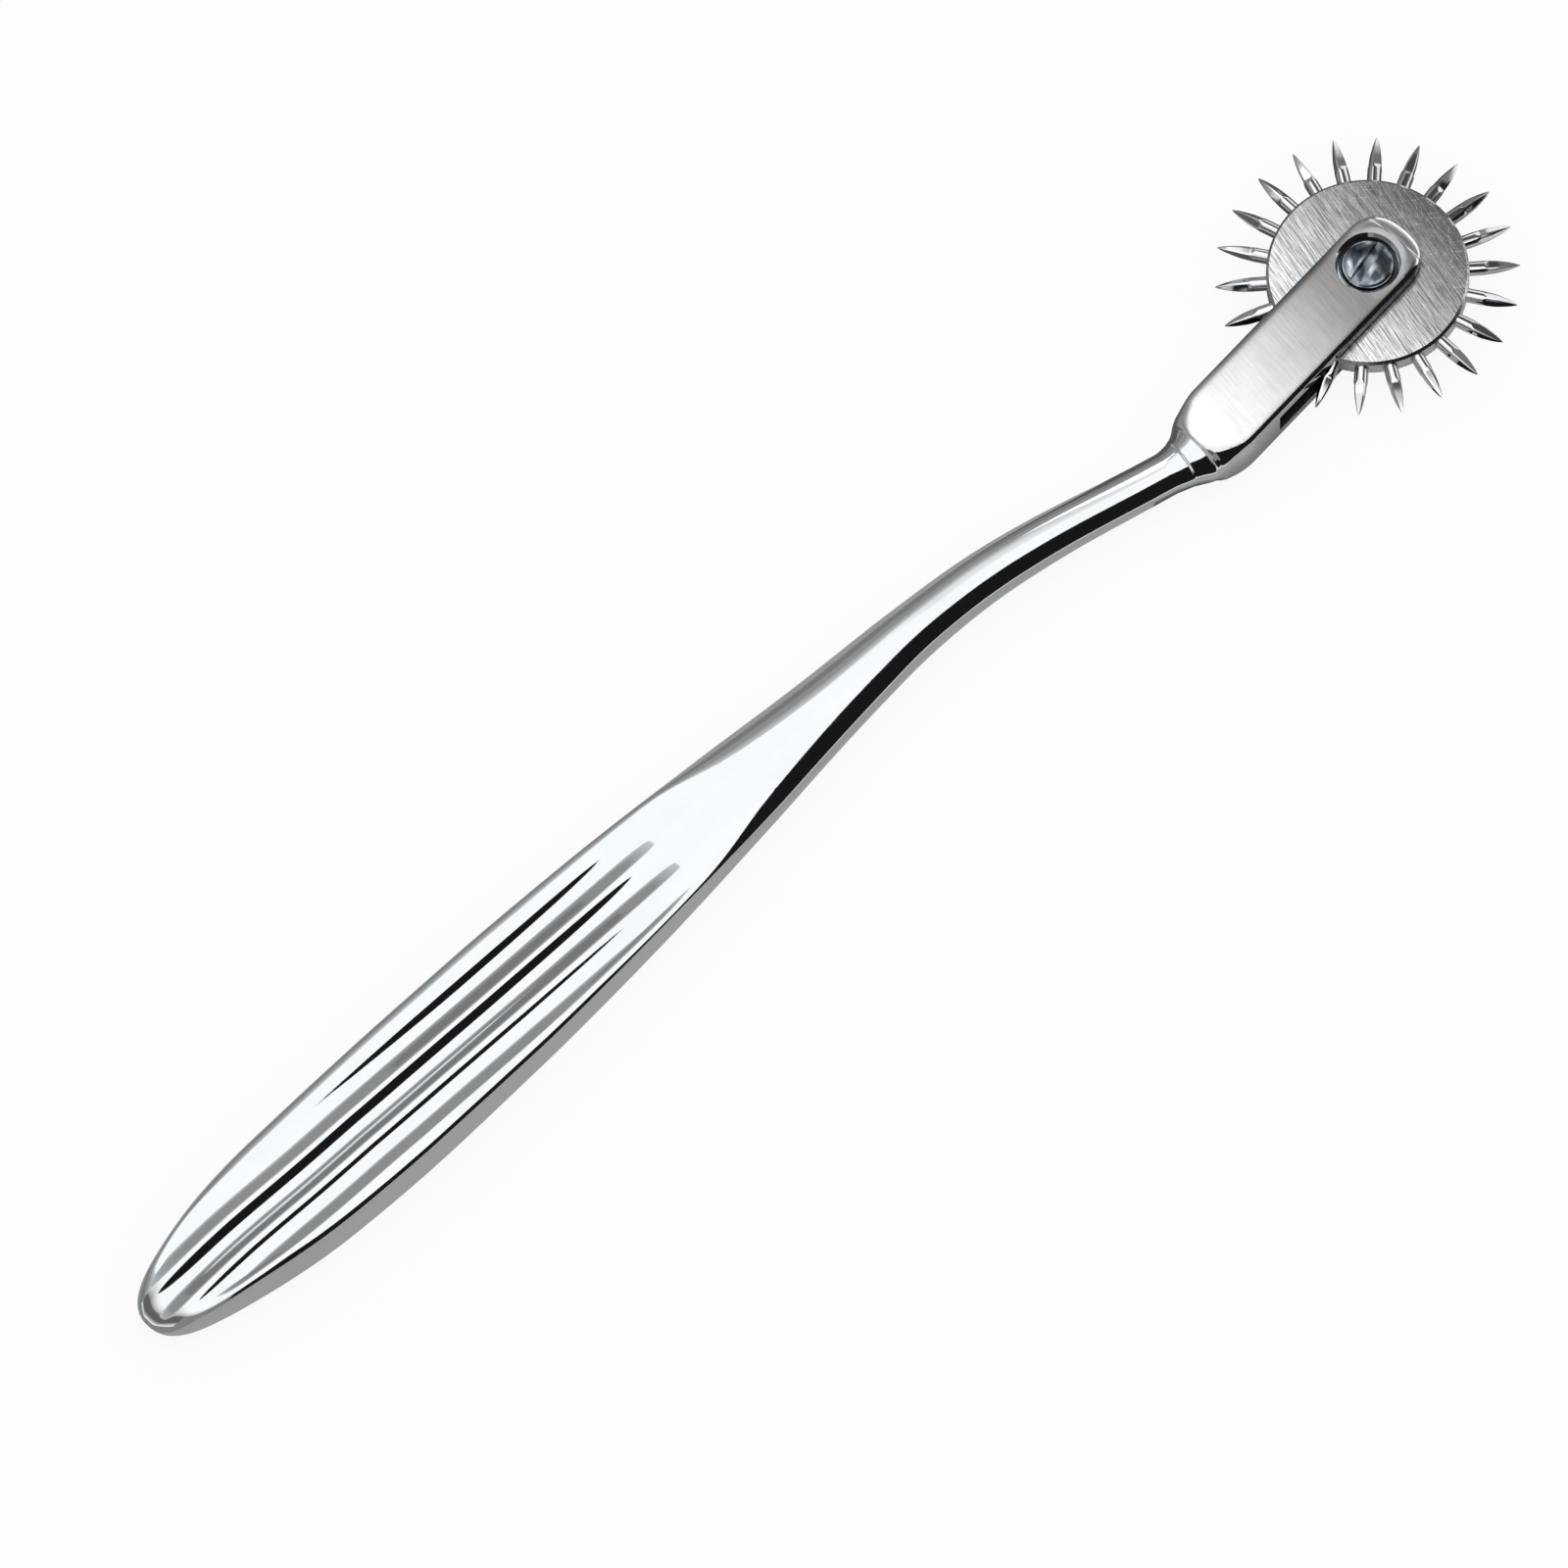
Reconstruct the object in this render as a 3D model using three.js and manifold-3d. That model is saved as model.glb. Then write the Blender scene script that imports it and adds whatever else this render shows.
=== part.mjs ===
// Neurological pinwheel: a loose wheel of sharp pins spins in the slotted fork of a forged handle.
// Millimetres, +Z up. The instrument lies flat, its grip runs along X and the wheel turns about Z.

import * as THREE from "three";
import { mergeVertices } from "three/addons/utils/BufferGeometryUtils.js";
import Module from "manifold-3d";

const wasm = await Module();
wasm.setup();

// Driving sizes of the forging: grip, neck, shoulder and fork
const buttToAxle = 173.3;
const gripWidth = 13.95;
const gripThickness = 6.54;
const gripEdgeWidth = 1.3;
const gripEdgeRise = 0.6;
const buttZoneLength = 36;
const gripLength = 111;
const gripRise = 4.87;
const neckRise = 4.99;
const buttRise = 0.63;
const fluteDepth = 0.95;
const flutePitch = 1.83;
const fluteOffset = 0.15;
const fluteDriftStart = 30;
const fluteDrift = 0.0225;
const taperDip = 0.72;
const neckRootDiameter = 6.14;
const neckEndDiameter = 4.66;
const neckBendStart = 66;
const shoulderToAxle = 31;
const forkRootToAxle = 22.6;
const forkWidth = 8.5;
const forkThickness = 6.9;
const forkEdgeWidth = 1.15;
const forkEdgeRise = 0.75;
const forkReach = 5.4;
const forkTilt = THREE.MathUtils.degToRad(3.6);
const forkBlendLength = 2.2;

// Driving sizes of the saw cut in the fork and of the screw's holes
const slotWidth = 3.1;
const slotTipClearance = 3.2;
const headRecessDepth = 1.15;
const headRecessClearance = 0.3;
const recessChamfer = 0.35;

// Driving sizes of the wheel
const pinCount = 22;
const discRadius = 10.6;
const discThickness = 2.4;
const discChamfer = 0.28;
const pinDiameter = 1.5;
const pinReach = 5.4;
const pinSeatDepth = 2.3;
const pinStraightLength = 1.5;
const wheelTurn = THREE.MathUtils.degToRad(8.6);

// Driving sizes of the shoulder screw
const shoulderDiameter = 3.2;
const threadDiameter = 2.6;
const threadRecess = 0.2;
const screwHeadDiameter = 5.6;
const screwHeadEdge = 0.55;
const screwHeadDome = 0.9;
const screwSlotWidth = 1.15;
const screwSlotDepth = 0.75;
const screwSlotTurn = THREE.MathUtils.degToRad(11);

// Clearances, and how far a cutter runs past what it cuts
const runningClearance = 0.08;
const seatClearance = 0.02;
const cutOverrun = 2;

// How finely round things are divided
const roundSides = 36;
const pinSides = 12;
const sawSides = 160;
const discSides = pinCount * 3;
const cornerSteps = 3;
const domeSteps = 4;
const buttStations = 13;
const taperStations = 18;
const neckStations = 9;
const shoulderStations = 13;
const forkEndStations = 8;

// Butt of the grip: share of the way along, then of half width, half thickness, edge width, wall and flutes
const buttShares = [
  [0, 0, 0, 0, 0, 0],
  [0.033, 0.38, 0.48, 1, 0.1, 0],
  [0.103, 0.561, 0.72, 1, 0.42, 0.25],
  [0.175, 0.659, 0.83, 1, 0.6, 0.65],
  [0.242, 0.731, 0.89, 1, 0.72, 0.9],
  [0.38, 0.853, 0.95, 1, 0.86, 1],
  [0.586, 0.955, 0.98, 1, 0.94, 1],
  [1, 1, 1, 1, 1, 1],
];

// Bow of the butt to the far side: share of the way along, then of its rise
const bowShares = [
  [0, 0.92],
  [0.314, 1],
  [0.508, 0.62],
  [0.647, 0.29],
  [1, 0],
];

// Grip tapering into the neck: share of the way along, then of the change in width, edge width, wall and
// flutes, and of the dip in thickness on the way
const taperShares = [
  [0.2, 0.029, 0, 0.13, 0.03, 0.42],
  [0.333, 0.122, 0, 0.2, 0.1, 0.58],
  [0.44, 0.232, 0, 0.3, 0.3, 0.71],
  [0.5, 0.306, 0, 0.42, 0.65, 0.8],
  [0.56, 0.383, 0, 0.6, 1, 1],
  [0.6, 0.421, 0.28, 0.68, 1, 0.8],
  [0.667, 0.498, 1.05, 0.74, 1, 0.2],
  [0.764, 0.67, 1.36, 0.89, 1, 0.05],
  [0.867, 0.828, 1.32, 1, 1, 0],
  [0.95, 0.936, 1.14, 1, 1, 0],
  [1, 1, 1, 1, 1, 0],
];

// Neck: share of the way along, then of the change in diameter
const neckShares = [
  [0.15, 0.22],
  [0.393, 0.49],
  [0.553, 0.66],
  [0.712, 0.85],
  [0.872, 0.96],
  [1, 1],
];

// Shoulder flaring into the fork: share of the way along, then of the change in half width and half
// thickness, the share of the flat's half width, and the share of the side wall
const shoulderShares = [
  [0.167, 0.11, 0.08, 0, 0],
  [0.226, 0.17, 0.13, 0, 0],
  [0.256, 0.21, 0.33, 0, 0],
  [0.321, 0.325, 0.45, 0, 0],
  [0.423, 0.56, 0.69, 0, 0],
  [0.452, 0.615, 0.78, 0, 0],
  [0.482, 0.665, 1, 0.14, 0.1],
  [0.525, 0.725, 1, 0.44, 0.3],
  [0.585, 0.785, 1, 0.65, 0.52],
  [0.645, 0.81, 1, 0.79, 0.7],
  [0.72, 0.86, 1, 0.89, 0.85],
  [0.85, 0.93, 1, 0.96, 1],
  [1, 1, 1, 1, 1],
];

// Bend of the neck from the grip's axis to the fork's: share of the way along, then of the way across
const bendShares = [
  [0, 0],
  [0.194, 0.062],
  [0.31, 0.145],
  [0.427, 0.289],
  [0.543, 0.467],
  [0.65, 0.663],
  [0.766, 0.872],
  [0.854, 1.005],
  [0.9, 1.034],
  [0.95, 1.023],
  [1, 1],
];

// Flutes across a grip face: from a valley in the middle, crests and valleys alternate out to a crest at
// each side. Two lists place the points between a valley and a crest, and between a crest and a valley. The
// outer valleys have a share of the middle one's depth, which on the far side grows along the grip.
const valleyShare = 0.7;
const risingShares = [0, 0.4, 0.72];
const fallingShares = [0, 0.28, 0.6];
const flutesToEdge = 3;
const nearFluteShare = 0.6;
const farFluteShares = { from: 0.5, to: 0.8, start: 23, end: 50 };
const mostDriftShare = 0.25;
const plainFlatShare = 0.1;
const boxyFlatShare = 0.5;

// Pin point, as shares of the tapered length and of the radius
const pinPointShares = [
  [0, 1],
  [0.32, 0.9],
  [0.62, 0.64],
  [0.86, 0.33],
  [1, 0],
];

// Finishes: polished forging, brushed disc, ground pins and bright plated screw
const forgingFinish = { color: "#e2e4e6", roughness: 0.08, metalness: 1 };
const discFinish = { color: "#c4c6c8", roughness: 0.3, metalness: 1 };
const pinFinish = { color: "#d2d4d6", roughness: 0.15, metalness: 1 };
const screwFinish = { color: "#b9c4cf", roughness: 0.2, metalness: 1 };

// How far out the points and the saw cut reach
const tipRadius = discRadius + pinReach;
const slotReach = tipRadius + slotTipClearance;

// Heights of the fork's faces, of the saw cut's sides and of the floor under the screw's head
const faceZ = forkThickness / 2;
const cheekZ = slotWidth / 2;
const recessFloorZ = faceZ - headRecessDepth;

// A smooth curve through hand-set points that never overshoots them
function curveThrough(points) {
  const slopes = points.slice(1).map(([x, y], i) => (y - points[i][1]) / (x - points[i][0]));
  const tangents = points.map((point, i) => {
    const before = slopes[Math.max(i - 1, 0)];
    const after = slopes[Math.min(i, slopes.length - 1)];
    return before * after > 0 ? (2 * before * after) / (before + after) : 0;
  });
  tangents[0] = slopes[0];
  tangents[points.length - 1] = slopes[slopes.length - 1];
  return (x) => {
    const last = points.length - 2;
    const passed = points.filter((point) => point[0] <= x).length;
    const i = THREE.MathUtils.clamp(passed - 1, 0, last);
    const width = points[i + 1][0] - points[i][0];
    const t = THREE.MathUtils.clamp((x - points[i][0]) / width, 0, 1);
    const swing = t * (1 - t) * width;
    const ease = t * t * (3 - 2 * t);
    const bend = swing * ((1 - t) * tangents[i] - t * tangents[i + 1]);
    return points[i][1] * (1 - ease) + points[i + 1][1] * ease + bend;
  };
}

// Sections of the forging. Each has a half width, a half thickness, the half width of its flat face, the
// half height of its side wall and the flutes' depth. A quarter of an ellipse joins face and wall.
const buttX = -buttToAxle;
const widestX = buttX + buttZoneLength;
const neckX = buttX + gripLength;
const shoulderX = -shoulderToAxle;
const forkRootX = -forkRootToAxle;
const neckRoot = neckRootDiameter / 2;
const neckEnd = neckEndDiameter / 2;
const forkHalf = forkWidth / 2;
const mix = THREE.MathUtils.lerp;

const halfWidth = gripWidth / 2;
const halfThickness = gripThickness / 2;
const gripWall = halfThickness - gripEdgeRise;

function gripSection(x, half, rise, edge, wall, flute) {
  return { x, half, rise, flat: half - edge, wall, flute };
}

const buttSections = buttShares.map(([along, width, thickness, edge, wall, flute]) =>
  gripSection(
    buttX + along * buttZoneLength,
    width * halfWidth,
    thickness * halfThickness,
    edge * gripEdgeWidth,
    wall * gripWall,
    flute * fluteDepth,
  ),
);

const taperSections = taperShares.map(([along, width, edge, wall, flute, dip]) =>
  gripSection(
    mix(widestX, neckX, along),
    mix(halfWidth, neckRoot, width),
    mix(halfThickness, neckRoot, along) - dip * taperDip,
    mix(gripEdgeWidth, neckRoot, edge),
    mix(gripWall, 0, wall),
    mix(fluteDepth, 0, flute),
  ),
);

const neckSections = neckShares.map(([along, slim]) => {
  const radius = mix(neckRoot, neckEnd, slim);
  return gripSection(mix(neckX, shoulderX, along), radius, radius, radius, 0, 0);
});

const shoulderSections = shoulderShares.map(([along, width, thickness, flatShare, wallShare]) => ({
  x: mix(shoulderX, forkRootX, along),
  half: mix(neckEnd, forkHalf, width),
  rise: mix(neckEnd, faceZ, thickness),
  flat: flatShare * (forkHalf - forkEdgeWidth),
  wall: wallShare * (faceZ - forkEdgeRise),
  flute: 0,
}));

const sections = [...buttSections, ...taperSections, ...neckSections, ...shoulderSections];

// The butt is round, so its curves are drawn over the root of the distance from its end
const fromButt = (x) => Math.sqrt(Math.max(x - buttX, 0) / buttToAxle);
const sectionKeys = ["half", "rise", "flat", "wall", "flute"];
const sectionCurves = sectionKeys.map((key) =>
  curveThrough(sections.map((item) => [fromButt(item.x), item[key]])),
);

function sectionAt(x) {
  const values = sectionCurves.map((curve) => curve(fromButt(x)));
  return Object.fromEntries(sectionKeys.map((key, i) => [key, values[i]]));
}

// How far the flutes lie to the near side, and how deep the outer far one is, at a place along the grip
const driftAt = (x) => fluteOffset + fluteDrift * Math.max(x - buttX - fluteDriftStart, 0);
function farShareAt(x) {
  const { from, to, start, end } = farFluteShares;
  return mix(from, to, THREE.MathUtils.smoothstep(x - buttX, start, end));
}

// Beyond the fork's end centre the outline is round and its edge rolls over
function forkEndSection(x, centreX) {
  const across = x - centreX;
  const inner = forkHalf - forkEdgeWidth;
  const over = Math.min(Math.max(across - inner, 0) / forkEdgeWidth, 1);
  const wall = faceZ - forkEdgeRise;
  return {
    half: Math.sqrt(Math.max(forkHalf ** 2 - across ** 2, 0)),
    rise: wall + forkEdgeRise * Math.sqrt(1 - over ** 2),
    flat: Math.sqrt(Math.max(inner ** 2 - across ** 2, 0)),
    wall,
    flute: 0,
  };
}

// The centre line runs down the grip, bends through the neck and enters the fork at the fork's tilt
const forkLine = (x) => x * Math.tan(forkTilt);
const bendX = neckX - (neckBendStart - (buttToAxle - gripLength));
const spine = curveThrough([
  ...bowShares.map(([along, bow]) => [buttX + along * buttZoneLength, gripRise + bow * buttRise]),
  ...bendShares.map(([along, across]) => [
    mix(bendX, forkRootX, along),
    mix(neckRise, forkLine(forkRootX), across),
  ]),
  [forkRootX + forkBlendLength, forkLine(forkRootX + forkBlendLength)],
  [-slotReach, forkLine(-slotReach)],
  [0, 0],
  [forkReach, forkLine(forkReach)],
]);

// How deep the flutes are at a distance from the middle one: 0 on a crest, 1 or outerShare in a valley
function fluteShape(distance, outerShare) {
  const steps = Math.abs(distance) / flutePitch;
  const lower = Math.floor(steps);
  if (lower >= flutesToEdge) {
    return 0;
  }
  const fromValley = lower % 2 === 0 ? steps - lower : 1 - (steps - lower);
  const depth = lower > 0 ? outerShare : 1;
  if (fromValley < valleyShare) {
    return depth * (1 - fromValley ** 2 / valleyShare);
  }
  return (depth * (1 - fromValley) ** 2) / (1 - valleyShare);
}

// Where the points of a fluted or boxy quarter lie along its face, in steps of the flutes
const faceSteps = [];
for (let side = 0; side < flutesToEdge; side += 1) {
  const stepShares = side % 2 === 0 ? risingShares : fallingShares;
  faceSteps.push(...stepShares.map((step) => side + step));
}
const quarterSteps = faceSteps.length + cornerSteps + 1;

// A quarter of a section from the top centre round to the middle of the side
function quarterOutline({ half, rise, flat, wall, flute }, drift, outerShare) {
  const cornerWidth = half - flat;
  const cornerRise = rise - wall;
  const cornerLength = ((cornerWidth + cornerRise) / 2) * (Math.PI / 2);
  const total = flat + cornerLength + wall;
  const flatness = half > 0 ? flat / half : 1;
  const boxiness = THREE.MathUtils.smoothstep(flatness, plainFlatShare, boxyFlatShare);
  const pitch = Math.min(flat / flutesToEdge, flutePitch);
  const points = [];
  for (let i = 0; i <= quarterSteps; i += 1) {
    const cornerStep = i - faceSteps.length;
    let length = total;
    if (cornerStep < 0) {
      length = faceSteps[i] * pitch;
    } else if (cornerStep <= cornerSteps) {
      length = flat + (cornerLength * cornerStep) / cornerSteps;
    }
    length = mix((total * i) / quarterSteps, length, boxiness);
    if (length > flat + cornerLength) {
      points.push([half, Math.max(total - length, 0)]);
      continue;
    }
    const turn = cornerLength > 0 ? ((Math.PI / 2) * Math.max(length - flat, 0)) / cornerLength : 0;
    const faceShare = flat > 0 ? Math.min(length / flat, 1) : 1;
    const moved = drift * (1 - faceShare ** 2);
    const across = Math.min(length, flat) + cornerWidth * Math.sin(turn) + moved;
    const depth = flute * (1 - Math.sin(turn)) * fluteShape(across - drift, outerShare);
    points.push([across, wall + cornerRise * Math.cos(turn) - depth]);
  }
  return points;
}

// The whole section, clockwise from the top centre when seen from the wheel
function sectionOutline(section, drift, farShare) {
  const limited = Math.min(drift, mostDriftShare * Math.max(section.flat, 0));
  const far = quarterOutline(section, -limited, farShare);
  const near = quarterOutline(section, limited, nearFluteShare);
  const top = far[0];
  const side = far[quarterSteps];
  const inner = far.slice(1, -1);
  const nearInner = near.slice(1, -1);
  return [
    top,
    ...inner,
    side,
    ...inner.map(([y, z]) => [y, -z]).reverse(),
    [top[0], -top[1]],
    ...nearInner.map(([y, z]) => [-y, -z]),
    [-side[0], side[1]],
    ...nearInner.map(([y, z]) => [-y, z]).reverse(),
  ];
}

// Places along X where the loft has a section
function stationPlaces() {
  const places = [];
  const spread = (from, to, count) => {
    for (let i = 0; i < count; i += 1) {
      places.push(mix(from, to, i / count));
    }
  };
  for (let i = 0; i < buttStations; i += 1) {
    places.push(buttX + buttZoneLength * (i / buttStations) ** 2);
  }
  spread(widestX, neckX, taperStations);
  spread(neckX, shoulderX, neckStations);
  spread(shoulderX, forkRootX, shoulderStations);
  return places;
}

function solidFromArrays(positions, indices) {
  const geometry = new THREE.BufferGeometry();
  geometry.setAttribute("position", new THREE.Float32BufferAttribute(positions, 3));
  geometry.setIndex(indices);
  return solidFromGeometry(geometry);
}

function solidFromGeometry(source) {
  const bare = source.clone();
  bare.deleteAttribute("normal");
  bare.deleteAttribute("uv");
  const merged = mergeVertices(bare);
  const index = merged.getIndex().array;
  const triangles = [];
  for (let i = 0; i < index.length; i += 3) {
    const corners = [index[i], index[i + 1], index[i + 2]];
    if (new Set(corners).size === corners.length) {
      triangles.push(...corners);
    }
  }
  return new wasm.Manifold(
    new wasm.Mesh({
      numProp: 3,
      vertProperties: new Float32Array(merged.getAttribute("position").array),
      triVerts: new Uint32Array(triangles),
    }),
  );
}

function geometryFromSolid(solid) {
  const { vertProperties, triVerts } = solid.getMesh();
  const geometry = new THREE.BufferGeometry();
  geometry.setAttribute("position", new THREE.BufferAttribute(vertProperties, 3));
  geometry.setIndex(new THREE.BufferAttribute(triVerts, 1));
  const flatShaded = geometry.toNonIndexed();
  flatShaded.computeVertexNormals();
  return flatShaded;
}

// The forging before machining: one loft from the butt to the fork's round end
function forgingBlank() {
  const endCentreX = forkReach - forkHalf;
  const stations = stationPlaces().map((x) => ({ x, section: sectionAt(x) }));
  stations.push({ x: forkRootX, section: sectionAt(forkRootX) });
  for (let i = 0; i <= forkEndStations; i += 1) {
    const x = endCentreX + forkHalf * Math.sin((Math.PI / 2) * (i / forkEndStations));
    stations.push({ x, section: forkEndSection(x, endCentreX) });
  }
  const centres = stations.map(({ x }) => new THREE.Vector2(x, spine(x)));
  const positions = [];
  stations.forEach(({ x, section }, i) => {
    const ahead = centres[Math.min(i + 1, centres.length - 1)];
    const behind = centres[Math.max(i - 1, 0)];
    const along = ahead.clone().sub(behind).normalize();
    for (const [across, up] of sectionOutline(section, driftAt(x), farShareAt(x))) {
      positions.push(centres[i].x - along.y * across, centres[i].y + along.x * across, up);
    }
  });
  const ring = 4 * quarterSteps;
  const indices = [];
  for (let i = 0; i < stations.length - 1; i += 1) {
    for (let j = 0; j < ring; j += 1) {
      const here = i * ring + j;
      const beside = i * ring + ((j + 1) % ring);
      indices.push(here, here + ring, beside, beside, here + ring, beside + ring);
    }
  }
  return solidFromArrays(positions, indices);
}

// A turned piece about Z from a profile of radius and height
function turned(profile, sides) {
  const points = profile.map(([radius, z]) => new THREE.Vector2(radius, z));
  return new THREE.LatheGeometry(points, sides).rotateX(Math.PI / 2);
}

// The saw cut that makes the fork, an arc about the axle
function sawCut() {
  return turned(
    [
      [0, -cheekZ],
      [slotReach, -cheekZ],
      [slotReach, cheekZ],
      [0, cheekZ],
    ],
    sawSides,
  );
}

// The stepped hole for the screw: tapped below, plain through the upper cheek, recessed and chamfered
function screwHole() {
  const threadHole = threadDiameter / 2 + seatClearance;
  const shoulderHole = shoulderDiameter / 2 + runningClearance;
  const recess = screwHeadDiameter / 2 + headRecessClearance;
  return turned(
    [
      [0, -faceZ - cutOverrun],
      [threadHole, -faceZ - cutOverrun],
      [threadHole, 0],
      [shoulderHole, 0],
      [shoulderHole, recessFloorZ],
      [recess, recessFloorZ],
      [recess, faceZ - recessChamfer],
      [recess + recessChamfer + cutOverrun, faceZ + cutOverrun],
      [0, faceZ + cutOverrun],
    ],
    roundSides,
  );
}

function handleGeometry() {
  const blank = forgingBlank();
  const slotted = blank.subtract(solidFromGeometry(sawCut()));
  const bored = slotted.subtract(solidFromGeometry(screwHole()));
  return geometryFromSolid(bored);
}

// A pin along +X from the foot of its seat to its ground point
function pinProfile(clearance) {
  const radius = pinDiameter / 2 + clearance;
  const foot = discRadius - pinSeatDepth - clearance;
  return { radius, foot };
}

function pinGeometry() {
  const { radius, foot } = pinProfile(0);
  const taperStart = discRadius + pinStraightLength;
  const point = pinPointShares.map(([along, thick]) => [thick * radius, mix(taperStart, tipRadius, along)]);
  return turned([[0, foot], [radius, foot], ...point], pinSides).rotateY(Math.PI / 2);
}

function pinSeatGeometry() {
  const { radius, foot } = pinProfile(seatClearance);
  const mouth = discRadius + cutOverrun;
  return turned(
    [
      [0, foot],
      [radius, foot],
      [radius, mouth],
      [0, mouth],
    ],
    pinSides,
  ).rotateY(Math.PI / 2);
}

// The disc, chamfered on both rims, bored for the axle and drilled round its rim for the pins
function discGeometry() {
  const faceHeight = discThickness / 2;
  const blank = turned(
    [
      [0, -faceHeight],
      [discRadius - discChamfer, -faceHeight],
      [discRadius, discChamfer - faceHeight],
      [discRadius, faceHeight - discChamfer],
      [discRadius - discChamfer, faceHeight],
      [0, faceHeight],
    ],
    discSides,
  );
  const bore = shoulderDiameter / 2 + runningClearance;
  const boreCut = turned(
    [
      [0, -faceHeight - cutOverrun],
      [bore, -faceHeight - cutOverrun],
      [bore, faceHeight + cutOverrun],
      [0, faceHeight + cutOverrun],
    ],
    roundSides,
  );
  let disc = solidFromGeometry(blank).subtract(solidFromGeometry(boreCut));
  for (let i = 0; i < pinCount; i += 1) {
    disc = disc.subtract(solidFromGeometry(pinSeatGeometry().rotateZ(pinAngle(i))));
  }
  return geometryFromSolid(disc);
}

function pinAngle(i) {
  return (i * 2 * Math.PI) / pinCount;
}

// The shoulder screw: domed slotted head, plain shoulder for the wheel, thread in the lower cheek
function screwGeometry() {
  const headFoot = recessFloorZ + seatClearance;
  const rimZ = headFoot + screwHeadEdge;
  const headRadius = screwHeadDiameter / 2;
  const dome = [];
  for (let i = 1; i < domeSteps; i += 1) {
    const turn = ((Math.PI / 2) * i) / domeSteps;
    dome.push([headRadius * Math.cos(turn), rimZ + screwHeadDome * Math.sin(turn)]);
  }
  const body = turned(
    [
      [0, threadRecess - faceZ],
      [threadDiameter / 2, threadRecess - faceZ],
      [threadDiameter / 2, seatClearance - cheekZ],
      [shoulderDiameter / 2, seatClearance - cheekZ],
      [shoulderDiameter / 2, headFoot],
      [headRadius, headFoot],
      [headRadius, rimZ],
      ...dome,
      [0, rimZ + screwHeadDome],
    ],
    roundSides,
  );
  const slotHeight = screwSlotDepth + cutOverrun;
  const slot = new THREE.BoxGeometry(screwHeadDiameter + cutOverrun, screwSlotWidth, slotHeight);
  slot.translate(0, 0, rimZ + screwHeadDome - screwSlotDepth + slotHeight / 2);
  slot.rotateZ(screwSlotTurn);
  return geometryFromSolid(solidFromGeometry(body).subtract(solidFromGeometry(slot)));
}

function metalMesh(name, geometry, finish) {
  const mesh = new THREE.Mesh(geometry, new THREE.MeshStandardMaterial(finish));
  mesh.name = name;
  return mesh;
}

// Assembly, with the wheel's centre at the origin until the whole is set down on its bottom centre
const wheel = new THREE.Group();
wheel.rotation.z = wheelTurn;
wheel.add(metalMesh("wheel_disc", discGeometry(), discFinish));
for (let i = 0; i < pinCount; i += 1) {
  const pin = metalMesh(`pin_${String(i + 1).padStart(2, "0")}`, pinGeometry(), pinFinish);
  pin.rotation.z = pinAngle(i);
  wheel.add(pin);
}

const instrument = new THREE.Group();
instrument.add(metalMesh("handle", handleGeometry(), forgingFinish));
instrument.add(metalMesh("axle_screw", screwGeometry(), screwFinish));
instrument.add(wheel);
instrument.updateMatrixWorld(true);

const bounds = new THREE.Box3().setFromObject(instrument, true);
const middle = bounds.getCenter(new THREE.Vector3());
instrument.position.set(-middle.x, -middle.y, -bounds.min.z);

const part = new THREE.Group();
part.add(instrument);
part.updateMatrixWorld(true);

export default part;
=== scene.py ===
# %% [markdown]
# # Dressing a neurological pinwheel
# The object is a doctor's hand instrument: a loose wheel of sharp pins in the slotted fork of a one-piece
# forged handle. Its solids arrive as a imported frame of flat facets. In a mirror polish every facet would
# show, so each piece is made again here as a fine smooth mesh, rides on the same body, and is then given
# its metal.

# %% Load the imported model
import math

import bmesh
import bpy
import numpy as np
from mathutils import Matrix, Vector


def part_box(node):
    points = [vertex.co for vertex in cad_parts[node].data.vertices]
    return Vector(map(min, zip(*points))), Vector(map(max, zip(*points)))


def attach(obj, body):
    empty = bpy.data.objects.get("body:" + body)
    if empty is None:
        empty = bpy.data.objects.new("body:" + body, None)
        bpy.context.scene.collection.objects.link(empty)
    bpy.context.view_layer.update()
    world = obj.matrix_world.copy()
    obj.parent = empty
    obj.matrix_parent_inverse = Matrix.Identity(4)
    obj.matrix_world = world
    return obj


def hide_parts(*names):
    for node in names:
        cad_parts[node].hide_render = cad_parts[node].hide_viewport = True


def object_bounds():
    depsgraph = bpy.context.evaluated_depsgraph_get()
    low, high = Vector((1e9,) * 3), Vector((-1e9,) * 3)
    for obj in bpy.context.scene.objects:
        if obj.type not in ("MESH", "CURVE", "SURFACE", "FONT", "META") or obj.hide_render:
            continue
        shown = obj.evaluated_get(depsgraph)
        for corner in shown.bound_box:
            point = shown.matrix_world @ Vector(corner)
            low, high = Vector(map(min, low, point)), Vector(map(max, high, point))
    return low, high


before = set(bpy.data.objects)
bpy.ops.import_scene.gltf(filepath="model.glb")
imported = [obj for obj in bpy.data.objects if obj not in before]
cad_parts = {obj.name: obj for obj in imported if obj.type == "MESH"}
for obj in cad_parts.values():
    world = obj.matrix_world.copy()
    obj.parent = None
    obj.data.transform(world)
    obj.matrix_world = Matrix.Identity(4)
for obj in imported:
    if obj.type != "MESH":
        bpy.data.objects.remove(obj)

MM = 0.001
cad_low, cad_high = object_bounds()
disc_low, disc_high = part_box("wheel_disc")
AXLE = (disc_low + disc_high) / 2
print("axle centre in mm:", [round(value / MM, 3) for value in AXLE])

# %% [markdown]
# ## Camera
# The photograph was taken from well above, at 45 degrees to the instrument's length, with little
# perspective. A camera can be aimed by eye, or worked out: the circle of pin points shows as an ellipse
# 0.915 high, which gives the tilt, and the scale of the wheel gives the distance for a chosen lens. A long
# lens is used because near and far ends have one scale.

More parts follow.
